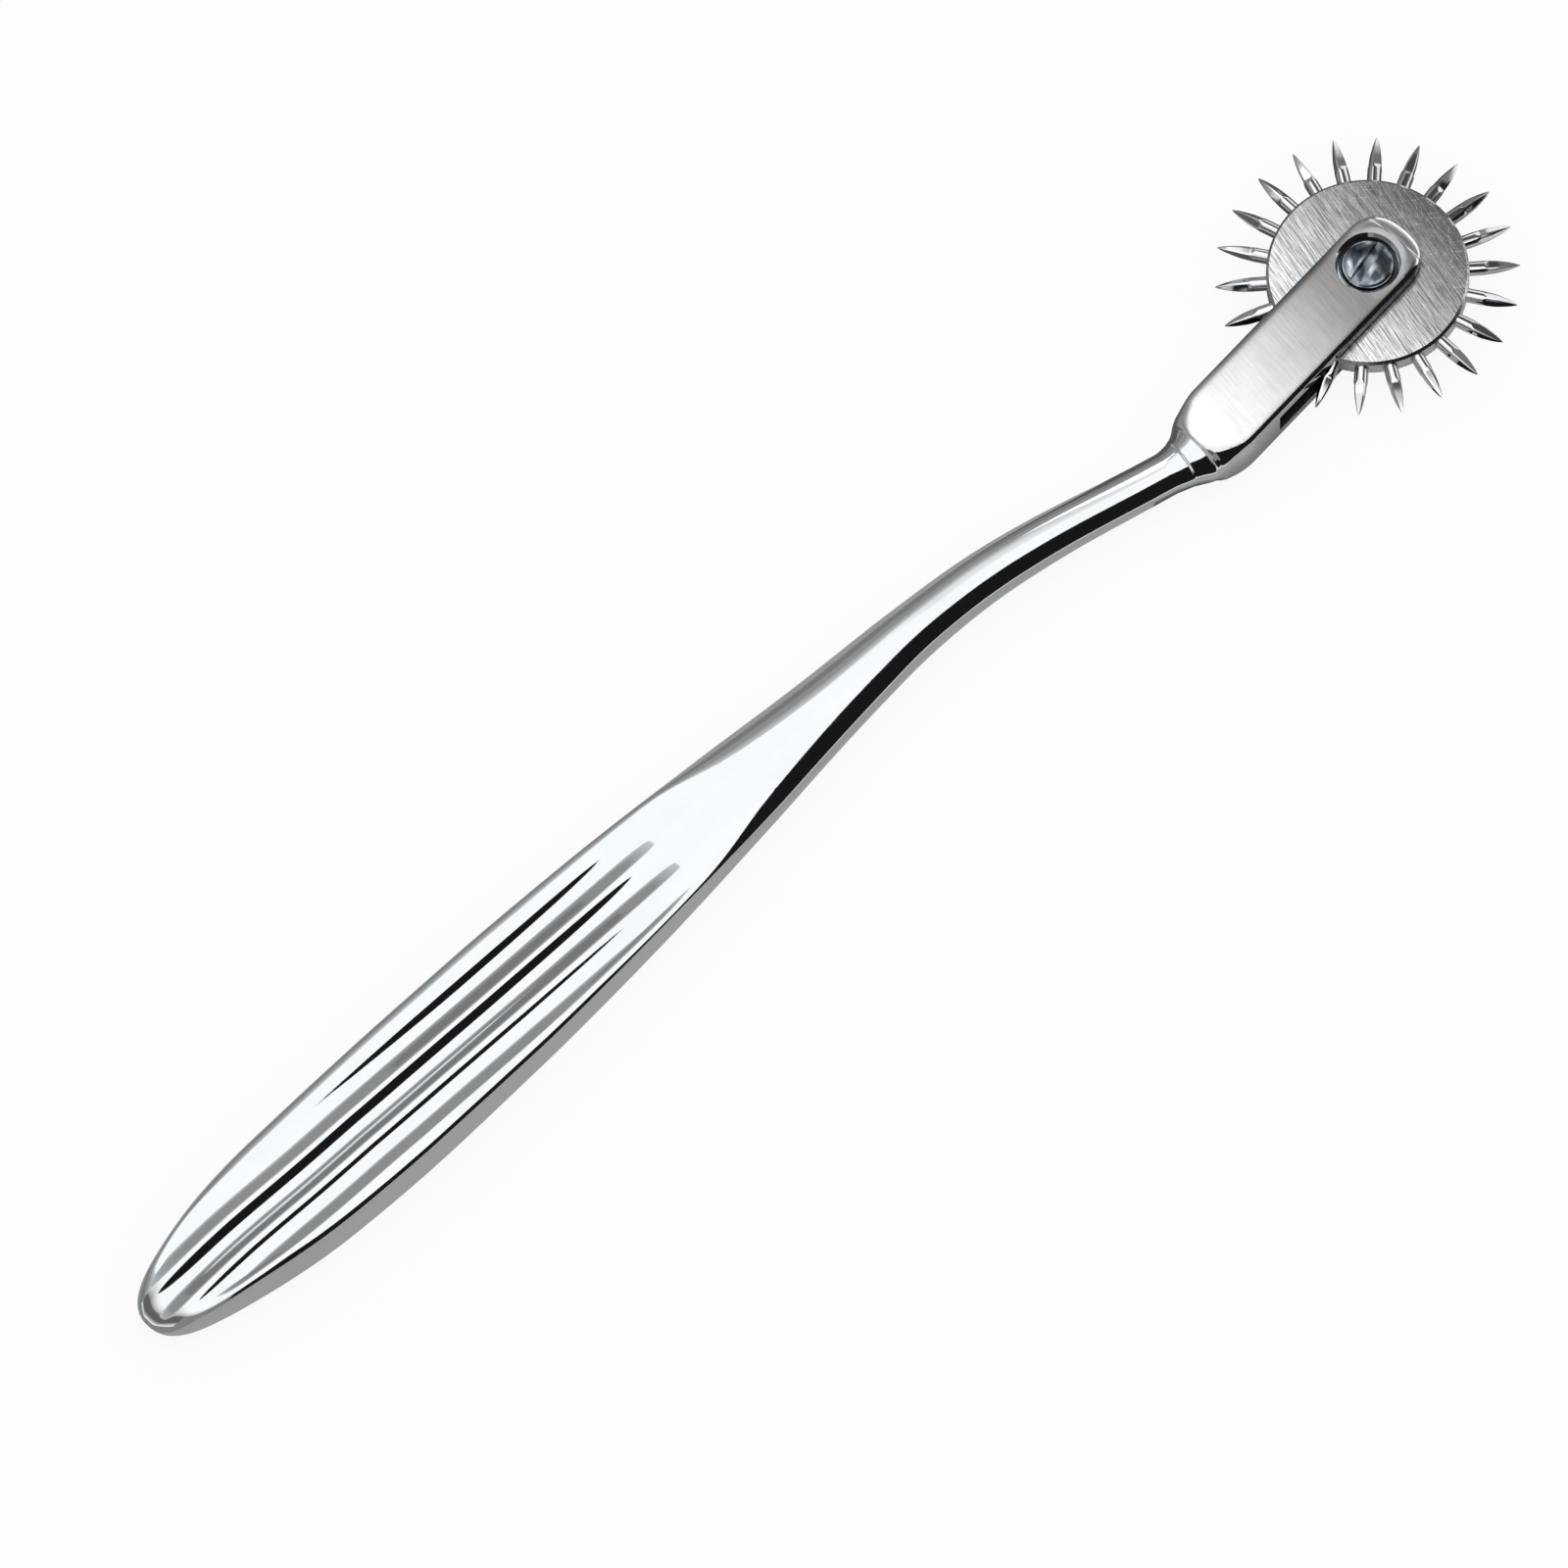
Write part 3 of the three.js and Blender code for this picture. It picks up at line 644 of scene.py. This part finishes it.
def fork_end_values(x):
    """Beyond the end's centre the outline closes, fuller than a half circle, and its edge rolls over."""
    across, inner = x - END_CENTRE_X, FORK_HALF - FORK_EDGE_WIDTH
    wall = FACE_Z - FORK_EDGE_RISE
    over = min(max(across - inner, 0) / FORK_EDGE_WIDTH, 1)
    rise = wall + FORK_EDGE_RISE * math.sqrt(1 - over**2)
    half, flat = (max(reach**END_FULLNESS - across**END_FULLNESS, 0) ** (1 / END_FULLNESS)
                  for reach in (FORK_HALF, inner))
    return half, rise, flat, wall, 0


def forging_blank():
    """The loft through all sections, before any cut."""
    end_turns = np.linspace(0, math.pi / 2, END_STATIONS)
    end_places = END_CENTRE_X + FORK_HALF * np.sin(end_turns)
    places = np.concatenate([loft_places, end_places])
    across = np.concatenate([spine_across, end_places * math.tan(FORK_TILT)])
    values = list(loft_values) + [fork_end_values(x) for x in end_places]
    centres = np.column_stack([places, across])
    ahead = np.vstack([centres[1:], centres[-1:]]) - np.vstack([centres[:1], centres[:-1]])
    ahead /= np.linalg.norm(ahead, axis=1, keepdims=True)
    points, ring = [], 4 * QUARTER_STEPS
    for centre, (along_x, along_y), value in zip(centres, ahead, values):
        for y, z in whole_outline(centre[0], value):
            points.append((centre[0] - along_y * y, centre[1] + along_x * y, z))
    faces = [(i * ring + j, (i + 1) * ring + j, (i + 1) * ring + (j + 1) % ring, i * ring + (j + 1) % ring)
             for i in range(len(places) - 1) for j in range(ring)]
    return make_piece("forged_handle", points, faces)


forging = forging_blank()
print("forging blank:", len(forging.data.vertices), "points")

# %% [markdown]
# The satin covers the fork's flats and as much of their rolled edge as the belt reached, which is most on
# the far side. Faces are picked by how far they lean. They get the finish before the cuts, because cutting
# keeps it. The saw cut and the screw's stepped hole bring the machined finish with them. Afterwards the
# chamfer round the recess is polished, and the strip beside the wheel gets the dark machined finish as
# painted shade.

# %% Satin faces
POLISHED, SATINED, MACHINED_AND_SHADED = 0, 1, 2
FLAT_START_X = -27.1
END_SATIN, NEAR_EDGE_SATIN, FAR_EDGE_SATIN = 0.93, 0.9, 0.35
FAR_SIDE_SHARE = 2.5
for finish in (polished_chrome, satin_chrome, machined_steel_and_shade):
    forging.data.materials.append(finish)
for face in forging.data.polygons:
    lean, place = abs(face.normal.z), (face.center.x - AXLE.x) / MM
    least_lean = NEAR_EDGE_SATIN if place < END_CENTRE_X else END_SATIN
    if face.normal.y > max(FAR_SIDE_SHARE * face.normal.x, 0):
        least_lean = FAR_EDGE_SATIN
    if place > FLAT_START_X and lean > least_lean:
        face.material_index = SATINED
satined = sum(face.material_index == SATINED for face in forging.data.polygons)
print(satined, "satin faces")

# %% Saw cut and screw hole
RECESS_DEPTH, RECESS_RADIUS, RECESS_CHAMFER = 1.15, 3.1, 0.35
SHOULDER_HOLE, THREAD_HOLE = 1.68, 1.32
OVERRUN = 2
SAW_SIDES, HOLE_SIDES = 256, 128
saw_cut = turned("saw_cut", [
    (0, -CHEEK_Z), (SLOT_REACH, -CHEEK_Z), (SLOT_REACH, CHEEK_Z), (0, CHEEK_Z),
], SAW_SIDES)
cut(forging, saw_cut, MACHINED_AND_SHADED)
screw_hole = turned("screw_hole", [
    (0, -FACE_Z - OVERRUN), (THREAD_HOLE, -FACE_Z - OVERRUN), (THREAD_HOLE, 0), (SHOULDER_HOLE, 0),
    (SHOULDER_HOLE, FACE_Z - RECESS_DEPTH), (RECESS_RADIUS, FACE_Z - RECESS_DEPTH),
    (RECESS_RADIUS, FACE_Z - RECESS_CHAMFER), (RECESS_RADIUS + RECESS_CHAMFER + OVERRUN, FACE_Z + OVERRUN),
    (0, FACE_Z + OVERRUN),
], HOLE_SIDES)
cut(forging, screw_hole, MACHINED_AND_SHADED)
print("forging cut:", len(forging.data.polygons), "faces")

# %% Bright chamfer and painted shade on the strip beside the wheel
# Reach and lean of the near wall beside the wheel that gets painted shade
SHADED_WALL_REACH, SHADED_WALL_LEAN = 9.5, 0.97
FORGING_SHARP = 35
for face in forging.data.polygons:
    if face.material_index == MACHINED_AND_SHADED and face.center.z > AXLE.z + (FACE_Z - RECESS_CHAMFER) * MM:
        face.material_index = POLISHED
    # Painted shade: the near wall beside the wheel gets the dark machined finish
    shaded_strip = face.center.x > AXLE.x - SHADED_WALL_REACH * MM and face.normal.y < -SHADED_WALL_LEAN
    if face.material_index == POLISHED and shaded_strip:
        face.material_index = MACHINED_AND_SHADED
shade(forging, FORGING_SHARP)
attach(forging, "handle_body")
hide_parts("handle")

# %% [markdown]
# ## The wheel's disc
# The disc is sheet steel, turned round, chamfered on both rims and bored for the axle. Its faces were
# rubbed on abrasive paper in one direction, which leaves fine parallel streaks, and years of handling add a
# few stray scratches. The streaks are drawn 0.14 mm wide, with finer ones of 0.07 mm between them, and the
# scratches 0.07 mm. Real ones are about a quarter of that and wouldn't show.

# %% Finish: brushed steel
BRUSHED = ("#f0f1f2", "#7f8285")
STREAK = (4.5, 0.14, 0.14)
FINE_STREAK = (1.6, 0.07, 0.07)
STREAK_TURN, FINE_STREAK_TURN = 77, 80
DISC_SCRATCH, DISC_SCRATCH_TURNS = (0.7, 0.77, 0, 1), (12, 52, 140)
DISC_MOTTLE, DISC_ROUGHNESS, DISC_DEPTH = (0.76, 1.24, 0, 1), (0.3, 0.7, 0.16, 0.28), 0.0045
brushed_steel, tree = new_finish("steel_brushed")
streak = grain(tree, STREAK, turn=STREAK_TURN, detail=3, seed=4)
fine_streak = grain(tree, FINE_STREAK, turn=FINE_STREAK_TURN, detail=2, seed=6)
scratch = total(tree, [
    spread(tree, grain(tree, SCRATCH, turn=turn, detail=1, seed=turn), *DISC_SCRATCH)
    for turn in DISC_SCRATCH_TURNS
])
brushing = total(tree, [streak, fine_streak])
finish_metal(
    brushed_steel, BRUSHED, mottle=spread(tree, brushing, *DISC_MOTTLE),
    roughness=spread(tree, streak, *DISC_ROUGHNESS),
    height=total(tree, [brushing, scratch]),
    depth=DISC_DEPTH,
)

# %% Sizes of the wheel
DISC_RADIUS, DISC_HALF, DISC_CHAMFER, BORE = 10.6, 1.2, 0.28, 1.68
PIN_COUNT, PIN_RADIUS, PIN_FOOT = 22, 0.75, 8.3
SEAT_CLEARANCE = 0.04
WHEEL_TURN = math.radians(8.6)
DISC_SIDES, ROD_SIDES = PIN_COUNT * 14, 32
DISC_SHARP = 30
print("disc is", 2 * DISC_RADIUS, "mm across with", PIN_COUNT, "pins")


# %% Tubes across the wheel
def pin_turn(i):
    """The direction of a pin."""
    return WHEEL_TURN + i * 2 * math.pi / PIN_COUNT


def ring_across(turn, along, radii, around):
    """Points of a ring across a radius of the wheel, so far out along it."""
    return [(along * math.cos(turn) - y * math.sin(turn), along * math.sin(turn) + y * math.cos(turn), z)
            for y, z in zip(radii * np.cos(around), radii * np.sin(around))]


def closed_tube(name, points, sides):
    """A tube through rings of points, with both ends closed."""
    last = len(points) - sides
    faces = [(ring + j, ring + (j + 1) % sides, ring + sides + (j + 1) % sides, ring + sides + j)
             for ring in range(0, last, sides) for j in range(sides)]
    faces += [tuple(range(sides)), tuple(range(last, len(points)))]
    return make_piece(name, points, faces)


# %% Disc with its seats
def seat_cutter(turn):
    """A plain round rod along a radius of the wheel, a little wider than the pin's shank."""
    around = np.arange(ROD_SIDES) * 2 * math.pi / ROD_SIDES
    ends = (PIN_FOOT - SEAT_CLEARANCE, DISC_RADIUS + OVERRUN)
    points = [point for end in ends for point in ring_across(turn, end, PIN_RADIUS + SEAT_CLEARANCE, around)]
    return closed_tube("pin_seat", points, ROD_SIDES)


disc = turned("wheel_disc_turned", [
    (BORE, -DISC_HALF), (DISC_RADIUS - DISC_CHAMFER, -DISC_HALF), (DISC_RADIUS, DISC_CHAMFER - DISC_HALF),
    (DISC_RADIUS, DISC_HALF - DISC_CHAMFER), (DISC_RADIUS - DISC_CHAMFER, DISC_HALF), (BORE, DISC_HALF),
], DISC_SIDES, ring=True)
disc.data.materials.append(brushed_steel)
for i in range(PIN_COUNT):
    cut(disc, seat_cutter(pin_turn(i)))
shade(disc, DISC_SHARP)
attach(disc, "wheel_body")
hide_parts("wheel_disc")

# %% [markdown]
# ## The pins
# Each pin is a steel rod pressed into a blind hole in the rim. Its point was ground by hand: a slim taper
# whose flats leave curved edges where they meet the round shank. A cone would look too perfect, so the
# taper is the smaller of a round profile and a few flat grinds, and each pin's point and grinds differ a
# little. A fine stone leaves the pins bright with faint marks, which are drawn 0.12 mm wide, about four
# times the real width.

# %% Finish: ground steel
GROUND = ("#d6d8da", "#bfc2c5")
GRIND_LINE, GRIND_LINE_TURN = (0.9, 0.12, 0.12), 35
GROUND_ROUGHNESS, GROUND_MARK_DEPTH = (0.3, 0.7, 0.07, 0.14), 0.002
ground_steel, tree = new_finish("steel_ground_bright")
grind = grain(tree, GRIND_LINE, turn=GRIND_LINE_TURN, detail=2, seed=8)
finish_metal(
    ground_steel, GROUND, mottle=grind,
    roughness=spread(tree, grind, *GROUND_ROUGHNESS), height=grind, depth=GROUND_MARK_DEPTH,
)

# %% Sizes of the pins
TIP_RADIUS, STRAIGHT_END = 16, 12.1
POINT_SHARES = [(0, 1), (0.32, 0.9), (0.62, 0.64), (0.86, 0.33), (1, 0.06)]
GRIND_COUNT = 4
GRIND_DEPTH = 0.8
GRIND_START = 0.12
SHORTEST_TIP = 0.12
TAPER_WANDER = 0.35
PIN_SIDES, POINT_STATIONS = 40, 26
PIN_SHARP = 24
point_curve = curve_through(POINT_SHARES)
print("pins reach", TIP_RADIUS, "mm from the axle")


# %% Rings of one pin
def pin_points(turn, tip, start, grind_turn):
    """Rings of a pin from its foot to its ground point."""
    around = np.arange(PIN_SIDES) * 2 * math.pi / PIN_SIDES
    nearest = (around - grind_turn) % (2 * math.pi / GRIND_COUNT)
    off_grind = np.minimum(nearest, 2 * math.pi / GRIND_COUNT - nearest)
    rings = [(PIN_FOOT, np.full(PIN_SIDES, PIN_RADIUS))]
    for share in np.linspace(0, 1, POINT_STATIONS):
        round_radius = PIN_RADIUS * point_curve(share)
        ground = min(share / GRIND_START, 1)
        flat_radius = round_radius * mix(1, GRIND_DEPTH, ground) / np.cos(off_grind)
        rings.append((mix(start, tip, share), np.minimum(round_radius, flat_radius)))
    return [point for along, radii in rings for point in ring_across(turn, along, radii, around)]


# %% All pins
SEED = 22
chance = np.random.default_rng(SEED)
for i in range(PIN_COUNT):
    tip = TIP_RADIUS - SHORTEST_TIP * chance.random()
    start = STRAIGHT_END + TAPER_WANDER * (chance.random() - 0.5)
    points = pin_points(pin_turn(i), tip, start, 2 * math.pi * chance.random())
    pin = closed_tube(f"ground_pin_{i + 1:02d}", points, PIN_SIDES)
    pin.data.materials.append(ground_steel)
    shade(pin, PIN_SHARP)
    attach(pin, "wheel_body")
    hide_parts(f"pin_{i + 1:02d}")

# %% [markdown]
# ## The axle screw
# A slotted shoulder screw holds the wheel. It is zinc plated, which gives a bluish grey, cloudy in patches
# of 2 to 3 mm. The patches are partly as the bath left it and partly painted reflections, near black and
# light, of the room in the dome. Its head is a low dome sunk in the upper cheek. It is turned from one
# profile and its slot is sawn.

# %% Finish: bright zinc plating
# Painted reflection: the cloud's near-black and light patches stand in for the room seen in the dome, over
# the plating's own cloud
ZINC = ("#b9c2ca", "#3a4148")
ZINC_CLOUD, ZINC_CLOUD_TURN = (3.2, 1.8, 1.8), 30
ZINC_TONE_AND_REFLECTION, ZINC_ROUGHNESS, ZINC_DEPTH = (0.4, 0.6, 0, 1), (0.3, 0.7, 0.1, 0.22), 0.03
bright_zinc, tree = new_finish("zinc_plating_and_reflection")
cloud = grain(tree, ZINC_CLOUD, turn=ZINC_CLOUD_TURN, detail=2, seed=1)
finish_metal(
    bright_zinc, ZINC, mottle=spread(tree, cloud, *ZINC_TONE_AND_REFLECTION),
    roughness=spread(tree, cloud, *ZINC_ROUGHNESS), height=cloud, depth=ZINC_DEPTH,
)

# %% Turned screw
HEAD_RADIUS, HEAD_FOOT, HEAD_EDGE, HEAD_DOME = 2.8, 2.32, 0.55, 0.888
SCREW_SHOULDER, SCREW_THREAD, SCREW_END, NECK_Z = 1.6, 1.3, -3.25, -1.53
DOME_STEPS, SCREW_SIDES = 16, 128
rim_z = HEAD_FOOT + HEAD_EDGE
dome_turns = np.linspace(0, math.pi / 2, DOME_STEPS)
dome = [(HEAD_RADIUS * math.cos(turn), rim_z + HEAD_DOME * math.sin(turn)) for turn in dome_turns]
screw = turned("axle_screw_turned", [
    (0, SCREW_END), (SCREW_THREAD, SCREW_END), (SCREW_THREAD, NECK_Z), (SCREW_SHOULDER, NECK_Z),
    (SCREW_SHOULDER, HEAD_FOOT), (HEAD_RADIUS, HEAD_FOOT), *dome[:-1], (0, rim_z + HEAD_DOME),
], SCREW_SIDES)
screw.data.materials.append(bright_zinc)
print("screw head is", 2 * HEAD_RADIUS, "mm across")

# %% Sawn slot
SLOT_HALF, SLOT_DEPTH, SLOT_TURN = 0.575, 0.75, math.radians(11)
SCREW_SHARP = 30
slot_floor, slot_top = rim_z + HEAD_DOME - SLOT_DEPTH, rim_z + HEAD_DOME + OVERRUN
half_length = HEAD_RADIUS + OVERRUN
slot_corners = ((-half_length, -SLOT_HALF), (half_length, -SLOT_HALF),
                (half_length, SLOT_HALF), (-half_length, SLOT_HALF))
slot_points = [
    (x * math.cos(SLOT_TURN) - y * math.sin(SLOT_TURN), x * math.sin(SLOT_TURN) + y * math.cos(SLOT_TURN), z)
    for z in (slot_floor, slot_top) for x, y in slot_corners
]
slot_faces = [(0, 1, 2, 3), (4, 5, 6, 7), (0, 1, 5, 4), (1, 2, 6, 5), (2, 3, 7, 6), (3, 0, 4, 7)]
cut(screw, make_piece("screw_slot", slot_points, slot_faces))
shade(screw, SCREW_SHARP)
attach(screw, "handle_body")
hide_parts("axle_screw")

# %% [markdown]
# ## Floor and light
# Polished metal has hardly a colour of its own: it shows the room. So the studio is part of the finish. A
# long white softbox hangs overhead, and dark and grey cards stand along both sides, as product
# photographers place them to draw a polished edge. A small card hangs close over the wheel and fades from
# white to dark, which gives the fork's flat and the disc their sheen. The cards are seen only in
# reflections. The floor is plain white paper that keeps the shadow.

# %% Floor
FLOOR_HALF, FLOOR_GAP = 6, 0.02
floor_mesh = bpy.data.meshes.new("floor")
floor_z = cad_low.z - FLOOR_GAP * MM
floor_mesh.from_pydata(
    [(x, y, floor_z) for x, y in ((-FLOOR_HALF, -FLOOR_HALF), (FLOOR_HALF, -FLOOR_HALF),
                                  (FLOOR_HALF, FLOOR_HALF), (-FLOOR_HALF, FLOOR_HALF))], [], [(0, 1, 2, 3)])
floor = bpy.data.objects.new("floor", floor_mesh)
bpy.context.scene.collection.objects.link(floor)
print("floor lies", FLOOR_GAP, "mm under the instrument")


# %% White paper
def background_rays(tree):
    """1 for rays that show the background: from the camera, off gloss and through glass."""
    path = add_node(tree, "ShaderNodeLightPath").outputs
    seen = [path["Is Camera Ray"], path["Is Glossy Ray"], path["Is Transmission Ray"]]
    return add_node(tree, "ShaderNodeMath", {0: total(tree, seen), 1: 1}, operation="MINIMUM").outputs[0]


PAPER = "#f4f4f4"
BACKGROUND_SHARE = 0.9
paper, tree = new_finish("paper_white")
lit = add_node(tree, "ShaderNodeBsdfDiffuse", {"Color": linear(PAPER)})
plain = add_node(tree, "ShaderNodeEmission", {"Color": linear("#ffffff"), "Strength": 1})
share = add_node(tree, "ShaderNodeMath", {0: background_rays(tree), 1: BACKGROUND_SHARE},
                 operation="MULTIPLY")
both = add_node(tree, "ShaderNodeMixShader", {0: share.outputs[0], 1: lit.outputs[0], 2: plain.outputs[0]})
add_node(tree, "ShaderNodeOutputMaterial", {"Surface": both.outputs[0]})
floor_mesh.materials.append(paper)
print("made the finish", paper.name)

# %% World
WORLD_LIGHT = 0.4
world = bpy.data.worlds.new("studio")
bpy.context.scene.world = world
world.use_nodes = True
world.node_tree.nodes.clear()
tree = world.node_tree
strength = spread(tree, background_rays(tree), 0, 1, WORLD_LIGHT, 1)
sky = add_node(tree, "ShaderNodeBackground", {"Color": linear("#ffffff"), "Strength": strength})
add_node(tree, "ShaderNodeOutputWorld", {"Surface": sky.outputs[0]})
print("room light", WORLD_LIGHT)

# %% Lamp
LAMP_HEIGHT, LAMP_SIZE, LAMP_STRENGTH = 0.6, 1.2, 0.9
lamp = bpy.data.objects.new("softbox_lamp", bpy.data.lights.new("softbox_lamp", "AREA"))
bpy.context.scene.collection.objects.link(lamp)
lamp.data.shape = "SQUARE"
lamp.data.size = LAMP_SIZE
lamp.data.energy = LAMP_STRENGTH * math.pi * LAMP_SIZE**2
lamp.location = (0, 0, LAMP_HEIGHT)
lamp.visible_camera = False
lamp.visible_glossy = False
print("lamp of", round(lamp.data.energy, 2), "W")

# %% [markdown]
# Two cards stand for the softbox and a third hangs close over the wheel. Six lean outwards from the
# softbox's edges down to the floor, and four lie on the floor. Two of these, the grey ones beside the
# instrument, are painted shade: they stand for the floor as the instrument shades it, and the one by the
# wheel darkens towards it as a painted shadow. A card has one brightness or fades along an axis. A fade is
# written as that axis, where it starts and ends in metres, and its two brightnesses, which are held beyond
# those places.

# %% Where the cards stand, and how bright they are
TOP_Z, FLOOR_CARD_Z, STEP_Z = 0.25, 0.001, 0.1
TOP_X, TOP_Y = (-0.2, 0.24), (-0.172, 0.175)
FOOT_X, FOOT_Y = (-0.36, 0.36), (-0.24, 0.3)
WHITE_END_X = (0.145, 0.092)
DARK_START_X = -0.12
BUTT_LOW_X, DARK_EDGE_Y = -0.0955, -0.0128
# The grey of the floor card beside the instrument is painted shade
WHITE, FLOOR_SHADE_GREY, DEEP_GREY, BUTT_GREY, DARK = 1.35, 0.42, 0.26, 0.3, 0.012
CARD_GAP = 0.01
LOW_Z = floor_z + CARD_GAP * MM
FAR_FADE = ("Z", 0.16, TOP_Z, 0.37, 0.8)
END_FADE = ("X", 0.105, 0.24, 1.2, 0.3)
WHEEL_END_FADE = ("Z", 0.12, 0.15, WHITE, 0.25)
OVERHEAD_FADE = ("X", -0.2, -0.11, 0.3, WHITE)
BUTT_FADE = ("Z", 0.03, 0.13, 1.1, 0.16)
# Painted shadow: the floor card by the wheel darkens towards the instrument
WHEEL_FLOOR_X, WHEEL_FLOOR_SHADOW_FADE = 0.045, ("Y", -0.0078, -0.005, 0.46, 0.12)
WHEEL_Z = 0.06
WHEEL_CARD_X, WHEEL_CARD_Y = (0.066, 0.135), (-0.045, 0.06)
WHEEL_FADE = ("X", 0.087, 0.104, 1.9, 0.09)
print("softbox hangs", TOP_Z, "m up, the close card", WHEEL_Z, "m")


# %% Cards
def corners(xs, ys, z):
    """The corners of a level card."""
    return [(xs[0], ys[0], z), (xs[1], ys[0], z), (xs[1], ys[1], z), (xs[0], ys[1], z)]


def between(upper, lower, z):
    """The point at height z on the line from an upper corner to a lower one."""
    return tuple(Vector(lower).lerp(Vector(upper), (z - lower[2]) / (upper[2] - lower[2])))


top, foot = corners(TOP_X, TOP_Y, TOP_Z), corners(FOOT_X, FOOT_Y, FLOOR_CARD_Z)
near_end, far_end = (WHITE_END_X[0], TOP_Y[0], TOP_Z), (WHITE_END_X[1], TOP_Y[1], TOP_Z)
step = [between(top[2], foot[2], STEP_Z), between(top[3], foot[3], STEP_Z)]
dark_top, dark_foot = (DARK_START_X, TOP_Y[0], TOP_Z), (DARK_START_X, FOOT_Y[0], FLOOR_CARD_Z)
CARDS = {
    "white_overhead": ([top[0], near_end, far_end, top[3]], OVERHEAD_FADE),
    "pale_overhead_end": ([near_end, top[1], top[2], far_end], END_FADE),
    "pale_far_side": ([top[3], top[2], *step], FAR_FADE),
    "grey_far_side": ([step[1], step[0], foot[2], foot[3]], DEEP_GREY),
    "fading_wheel_end": ([top[1], top[2], foot[2], foot[1]], WHEEL_END_FADE),
    "fading_over_wheel": (corners(WHEEL_CARD_X, WHEEL_CARD_Y, WHEEL_Z), WHEEL_FADE),
    "dark_near_side": ([dark_top, top[1], foot[1], dark_foot], DARK),
    "grey_near_butt": ([top[0], dark_top, dark_foot, foot[0]], BUTT_GREY),
    "fading_butt_end": ([top[0], top[3], foot[3], foot[0]], BUTT_FADE),
    "dark_low": (corners((BUTT_LOW_X, FOOT_X[1]), (FOOT_Y[0], DARK_EDGE_Y), FLOOR_CARD_Z), DARK),
    # Painted shade: a grey card for the floor beside the instrument as its shade darkens it
    "grey_low": (corners((BUTT_LOW_X, WHEEL_FLOOR_X), (DARK_EDGE_Y, FOOT_Y[1]), LOW_Z), FLOOR_SHADE_GREY),
    # Painted shadow: this floor card darkens towards the instrument by the wheel
    "fading_low": (corners((WHEEL_FLOOR_X, FOOT_X[1]), (DARK_EDGE_Y, FOOT_Y[1]), LOW_Z), WHEEL_FLOOR_SHADOW_FADE),
    "grey_low_butt": (corners((FOOT_X[0], BUTT_LOW_X), FOOT_Y, LOW_Z), BUTT_GREY),
}
print(len(CARDS), "cards")


# %% Hang the cards
def card(name, points, strength):
    """A flat card round the instrument, seen only in reflections. It may fade along one axis."""
    mesh = bpy.data.meshes.new("card_" + name)
    mesh.from_pydata(points, [], [tuple(range(len(points)))])
    sheet = bpy.data.objects.new("card_" + name, mesh)
    bpy.context.scene.collection.objects.link(sheet)
    for rays in ("camera", "diffuse", "transmission", "shadow"):
        setattr(sheet, "visible_" + rays, False)
    finish, tree = new_finish("card_" + name)
    if isinstance(strength, tuple):
        axis, *fade = strength
        place = add_node(tree, "ShaderNodeTexCoord").outputs["Object"]
        along = add_node(tree, "ShaderNodeSeparateXYZ", {0: place}).outputs[axis]
        strength = spread(tree, along, *fade)
    glow = add_node(tree, "ShaderNodeEmission", {"Color": linear("#ffffff"), "Strength": strength})
    add_node(tree, "ShaderNodeOutputMaterial", {"Surface": glow.outputs[0]})
    mesh.materials.append(finish)


for name, (points, strength) in CARDS.items():
    card(name, points, strength)
print("cards hung:", ", ".join(CARDS))
bpy.context.scene.view_settings.view_transform = "Standard"
